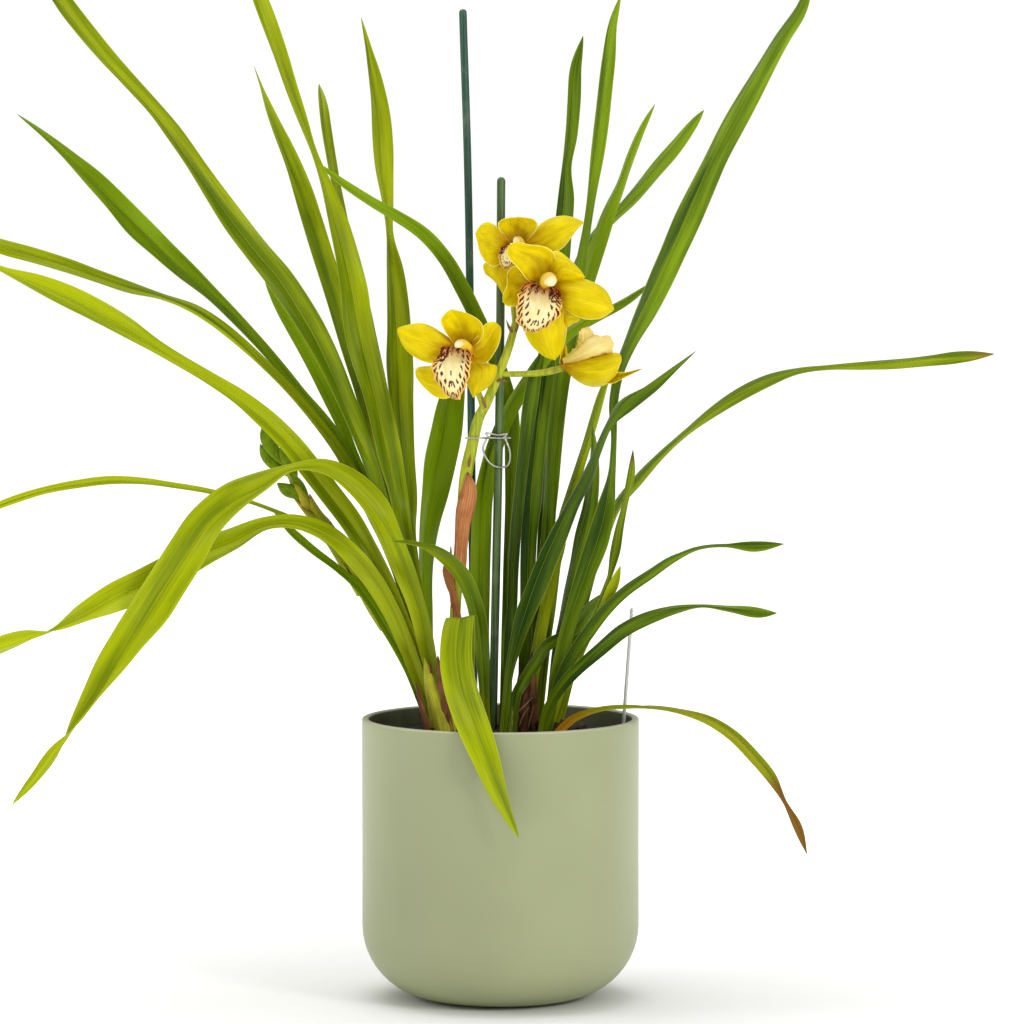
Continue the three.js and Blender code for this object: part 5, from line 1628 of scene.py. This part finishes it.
def petal_finish():
    """Waxy yellow: ochre at the base, fine veins that run to the tip, faint blotches, a
    heart that lies in shade, a pale thin rim where the light comes through, and a duller
    back."""
    w = WAXY
    f = Finish("waxy_petal", IOR=1.4, Specular_IOR_Level=0.14, Subsurface_Weight=0.1,
               Subsurface_Scale=0.002, Subsurface_Radius=(1.0, 0.7, 0.1))
    u, v, face = f.attribute("place")
    tone, shaded = f.attribute("trait")[:2]
    wander = f.noise(f.vector(u * 3, v * 3, tone * 20), 1.0, 2) - 0.5
    veins = ((v + wander * 0.15) * w["veins"]).stripes()
    mottle = f.noise(f.vector(u * 4, v * 3, tone * 33), 1.0, 3)
    colour = f.mix(mottle.step(0.25, 0.75), w["dark"], w["light"])
    colour = f.mix(veins.step(0.5, 1.0) * w["vein_share"], colour, w["vein"])
    base = (u + (mottle - 0.5) * 0.3).step(*w["base_reach"])
    colour = f.mix(base * w["base_share"], colour, w["base"])
    heart = (u * 0.8 + v.size() * 0.5 + (mottle - 0.5) * 0.3).step(0.75, 0.3)
    colour = f.mix(heart * shaded * w["heart_share"], colour, w["heart"])
    colour = f.mix(v.size().step(0.05, 0.0) * w["midrib_share"], colour, w["midrib"])
    colour = f.mix(v.size().step(0.94, 0.99) * w["rim_share"], colour, w["rim"])
    colour = f.mix((1 - face) * w["back_share"], colour, w["back"])
    return f.show(colour, w["gloss"] + 0.14 * mottle, veins * 0.4 + mottle * 0.6, w["bump"])


# %% [markdown]
# ## The columns
# Over each lip arches the column, a waxy bar with a pale hood. It is a tube along a line, as
# the stem is, closed by a dome, with a notch that sets off its end.

# %% Columns
COLUMN = {"per_span": 16, "rings": 40, "around": 28, "dome": (0.76, 0.245), "closed": 0.004,
          "notch": (0.8, 0.1, 0.02), "cap": (0.36, 0.5), "end": (0.7, 0.98)}
COLUMN_TINTS = {"ochre": srgb(206, 150, 14), "brown": srgb(170, 88, 14),
                "flush": srgb(122, 34, 16), "flush_share": 0.6, "cap": srgb(232, 198, 44),
                "end": srgb(252, 240, 196), "end_share": 0.85, "notch": srgb(196, 130, 30),
                "notch_share": 0.35, "speckles": 500, "gloss": 0.36, "bump": 0.0002}


def column_mesh(rows, radii):
    """An arched bar that swells to its end and closes over it as a dome; a shallow notch
    runs round it at the dome's start. dome is the share it starts at and its length, notch
    the share it lies at, its depth and its width."""
    line = run_through(rows, COLUMN["per_span"])
    u = np.linspace(0, 1, COLUMN["rings"])
    points = at(line, u * run_along(line)[-1])
    start, length = COLUMN["dome"]
    fall = np.maximum(0, (u - start) / length)
    dome = np.sqrt(np.clip(1 - fall**2, COLUMN["closed"], 1))
    place, depth, width = COLUMN["notch"]
    notch = 1 - depth * np.exp(-((u - place) / width)**2)
    around = COLUMN["around"]
    grid = tube(points, eased(points, radii) * MM * dome * notch, around,
                pattern=lambda s, a: 0.05 * np.cos(2 * a) + 0.03 * np.sin(3 * a + 4 * s))
    return skin("column", grid, {"place": tube_attributes(points, around)})


def column_finish():
    """Waxy column, ochre and flushed maroon on its way out, then a pale yellow hood with
    a white end."""
    t = COLUMN_TINTS
    f = Finish("column_wax", IOR=1.4, Specular_IOR_Level=0.3)
    u = f.attribute("place")[0]
    speckle = f.noise(f.object_place(), t["speckles"], 3)
    cap = (u + (speckle - 0.5) * 0.1).step(*COLUMN["cap"])
    colour = f.mix(speckle.step(0.4, 0.7), t["ochre"], t["brown"])
    colour = f.mix(speckle.step(0.54, 0.66) * t["flush_share"], colour, t["flush"])
    colour = f.mix(cap, colour, t["cap"])
    end = (u + (speckle - 0.5) * 0.12).step(*COLUMN["end"])
    colour = f.mix(end * t["end_share"], colour, t["end"])
    notch = (u - COLUMN["notch"][0]).size().step(0.02, 0.006)
    colour = f.mix(notch * t["notch_share"], colour, t["notch"])
    return f.show(colour, t["gloss"] + 0.2 * speckle, speckle + cap, t["bump"])


# %% [markdown]
# ## The lips
# The lip is cream, ruffled, and marked with maroon dashes that follow its margin. Painted
# dashes would need a picture. Here two distances are worked out at each point, outwards from
# the middle and round the margin, and sines of them give the dashes.

# %% Lips
LIP = {"bow_power": 2.6, "ruffle": 0.5, "fringe": 0.35, "ridge": 0.0006, "ridge_at": 0.13,
       "ridge_width": 0.05, "fold": 0.0004}
LIP_TINTS = {"dark": srgb(246, 224, 150), "light": srgb(252, 240, 190),
             "margin": srgb(242, 180, 62), "throat": srgb(196, 96, 24), "throat_share": 0.8,
             "plain": srgb(230, 204, 84), "red": srgb(84, 8, 4), "gloss": 0.42,
             "bump": 0.0002}


def lip_panel(rows, ruffle, lobe, seed):
    """A lip's ripple: waves along its margin that grow as |v|^3, a fringe at the front end,
    and two raised ridges down the throat. lobe says which side lobe is stained, -1 or 1;
    the lip with 0 has no marks and is folded instead."""
    rng = np.random.default_rng(seed)
    phase = rng.uniform(0, TURN, 3)

    def ripple(u, v):
        edge = np.abs(v)**3 * np.clip((u - 0.06) * 5, 0, 1)
        waves = np.sin(38 * u + phase[0] + 1.7 * np.sign(v)) + 0.5 * np.sin(71 * u + phase[1])
        fringe = np.sin(12 * v + phase[2]) * np.clip((u - 0.7) * 3.4, 0, 1)**2
        off_ridge = (np.abs(v) - LIP["ridge_at"]) / LIP["ridge_width"]
        ridges = np.exp(-off_ridge**2) * np.clip((0.6 - u) * 6, 0, 1)
        calm = np.clip((1 - u) * 12, 0, 1)
        folds = LIP["fold"] * (lobe == 0) * np.sin(11 * v + 2 * u) * np.sin(np.pi * u)
        return calm * (ruffle * MM * (LIP["ruffle"] * edge * waves + LIP["fringe"] * fringe)
                       + LIP["ridge"] * ridges + folds)

    return panel(rows, PANEL["lip"], ripple, LIP["bow_power"],
                 trait=(rng.uniform(0, 1), lobe, 0))


def lip_finish():
    """Cream lip. r is the share of the way from the lip's middle to its margin, and w the
    way round that margin, down a side and then across the front. Maroon dashes point
    outwards in two rings that follow the margin, a broken line runs down the middle, the
    throat is streaked, one side lobe is stained, and the margin is orange-yellow. A lip
    that isn't marked is plain yellow."""
    t = LIP_TINTS
    f = Finish("spotted_lip", IOR=1.4, Specular_IOR_Level=0.16, Subsurface_Weight=0.08,
               Subsurface_Scale=0.002)
    u, v, face = f.attribute("place")
    tone, lobe = f.attribute("trait")[:2]
    marked = lobe.size().step(0.0, 0.1)
    reach = ((u - 0.4) / 0.6).math("MAXIMUM", 0.0)
    r = (v.size()**3 + reach**3)**0.3333
    mottle = f.noise(f.vector(u * 6, v * 5, tone * 30), 1.0, 3)
    broken = f.noise(f.vector(u * 20, v * 14, tone * 50), 1.0, 2)
    w = u * 3.2 + (1 - v.size()) * 1.5 + (mottle - 0.5) * 0.5
    colour = f.mix(mottle.step(0.3, 0.7), t["dark"], t["light"])
    margin = (r + (mottle - 0.5) * 0.2).step(0.55, 1.0)
    colour = f.mix(margin * (0.3 + 0.5 * marked), colour, t["margin"])
    colour = f.mix(u.step(0.34, 0.06) * t["throat_share"] * marked, colour, t["throat"])
    colour = f.mix((1 - marked) * (0.4 + 0.5 * u.step(0.7, 0.0)), colour, t["plain"])
    wide = r + (broken - 0.5) * 0.12
    ring = wide.step(0.7, 0.75) * r.step(0.96, 0.91) * u.step(0.1, 0.16)
    outer = (w * 19).sine().step(-0.25, 0.05) * ring
    inner_ring = wide.step(0.46, 0.5) * wide.step(0.64, 0.6)
    inner = (w * 14 + 1.2).sine().step(0.05, 0.35) * inner_ring * broken.step(0.38, 0.44)
    down = v.size().step(0.05, 0.02) * (u * 46).sine().step(-0.3, 0.2) * u.step(0.5, 0.56)
    throat = (v * 17 + broken * 10).sine().step(0.2, 0.8) * u.step(0.36, 0.14) * 0.9
    stain = (v * lobe).step(0.3, 0.55) * u.step(0.06, 0.14) * u.step(0.46, 0.36)
    red = (outer + inner + down + throat + stain * broken.step(0.4, 0.5)).step(0.2, 0.8)
    colour = f.mix(red * (0.25 + 0.72 * face) * marked, colour, t["red"])
    return f.show(colour, t["gloss"] + 0.15 * mottle, mottle, t["bump"])


# %% Make the flowers
SEEDS = {"per_flower": 10, "lips": 70, "per_lip": 9}


def make_flowers():
    """Each flower as three pieces: its petals, its column and its lip."""
    waxy, cap, spotted = petal_finish(), column_finish(), lip_finish()
    for i, name in enumerate(PETALS):
        petals = [petal(rows, SEEDS["per_flower"] * i + j, shaded)
                  for j, (rows, shaded) in enumerate(zip(PETALS[name], SHADED[name]))]
        piece(f"petals_{name}", joined("petals", petals), waxy, "petal", f"flower_{name}")
        piece(f"column_{name}", column_mesh(*COLUMNS[name]), cap, "petal")
        ruffle, lobe, parts = LIPS[name]
        lips = [lip_panel(rows, ruffle, lobe, SEEDS["lips"] + i + SEEDS["per_lip"] * j)
                for j, rows in enumerate(parts)]
        piece(f"spotted_lip_{name}", joined("lip", lips), spotted, "lip", f"lip_{name}")


make_flowers()

# %% [markdown]
# ## The floor
# The plant stood on a seamless white ground. A flat disc is enough, if it glows a little far
# from the plant, so that no edge shows where it meets the white behind.

# %% Floor
FLOOR = {"reach": 14.0, "level": -0.0003, "first": 0.02, "rings": 40, "around": 96,
         "near": (0.05, 0.11), "near_glow": 0.22, "far": (0.1, 0.85), "far_glow": 0.78,
         "grain": 300, "dark": (0.86, 0.86, 0.86), "light": (0.88, 0.88, 0.88)}


def floor_mesh():
    """A flat disc, in rings that widen away from the plant."""
    angle = np.linspace(0, TURN, FLOOR["around"], endpoint=False)
    radius = np.geomspace(FLOOR["first"], FLOOR["reach"], FLOOR["rings"])[:, None]
    level = np.full((FLOOR["rings"], FLOOR["around"]), FLOOR["level"])
    points = np.stack([radius * np.cos(angle), radius * np.sin(angle), level], -1)
    index = np.arange(level.size).reshape(level.shape)
    after = np.roll(index, -1, 1)
    quads = np.stack([index[:-1], index[1:], after[1:], after[:-1]], -1).reshape(-1, 4)
    mesh = bpy.data.meshes.new("floor")
    mesh.from_pydata(points.reshape(-1, 3).tolist(), [], [*quads.tolist(), index[0].tolist()])
    return mesh


def floor_finish():
    """White paper. Far from the plant it glows a little, as a lit backdrop does, so that
    it meets the white behind it without an edge."""
    f = Finish("white_paper", Roughness=1.0, Specular_IOR_Level=0.0, Emission_Strength=0.8)
    x, y = f.place_parts()[:2]
    away = (x * x + y * y)**0.5
    glow = (away.step(*FLOOR["near"]) * FLOOR["near_glow"]
            + away.step(*FLOOR["far"]) * FLOOR["far_glow"])
    f.give(f.shader.inputs["Emission Color"], f.mix(glow, (0, 0, 0), (1, 1, 1)))
    grain = f.noise(f.object_place(), FLOOR["grain"], 2)
    return f.show(f.mix(grain, FLOOR["dark"], FLOOR["light"]))


floor = bpy.data.objects.new("floor", floor_mesh())
floor.data.materials.append(floor_finish())
bpy.context.scene.collection.objects.link(floor)

# %% [markdown]
# ## Light
# The plant was lit softly from all round, so that its edges are a little brighter than its
# front. A white world gives the light that comes from everywhere, and three large lamps give
# it a direction. The camera sees that world brighter than it lights.

# %% Light
WORLD = {"light": 0.44, "seen": 1.05}
AIM = (0, 0, 0.3)
LAMPS = [
    ("overhead", (-0.3, 0.3, 2.5), 2.0, 31, (1.0, 1.0, 0.98)),
    ("key", (2.2, -2.4, 1.6), 0.8, 38, (1.0, 0.99, 0.97)),
    ("side", (-2.6, -0.4, 1.3), 1.0, 13, (0.99, 1.0, 1.0)),
]


def aim(lamp, target):
    """Turns a lamp so that its light falls on the target."""
    direction = Vector(target) - lamp.location
    lamp.rotation_euler = direction.to_track_quat("-Z", "Y").to_euler()


def make_light():
    """A white world and the lamps, each given by its name, place, size, power and colour."""
    scene = bpy.context.scene
    scene.world = bpy.data.worlds.new("studio")
    scene.world.use_nodes = True
    tree = scene.world.node_tree
    sky = tree.nodes["Background"]
    sky.inputs["Color"].default_value = (1, 1, 1, 1)
    path = tree.nodes.new("ShaderNodeLightPath")
    brighter = tree.nodes.new("ShaderNodeMath")
    brighter.operation = "MULTIPLY_ADD"
    brighter.inputs[1].default_value = WORLD["seen"] - WORLD["light"]
    brighter.inputs[2].default_value = WORLD["light"]
    tree.links.new(path.outputs["Is Camera Ray"], brighter.inputs[0])
    tree.links.new(brighter.outputs[0], sky.inputs["Strength"])
    for name, place, size, power, colour in LAMPS:
        data = bpy.data.lights.new(name, "AREA")
        data.size = size
        data.energy = power
        data.color = colour
        lamp = bpy.data.objects.new(name, data)
        lamp.location = place
        aim(lamp, AIM)
        scene.collection.objects.link(lamp)
    scene.view_settings.view_transform = "Standard"


make_light()
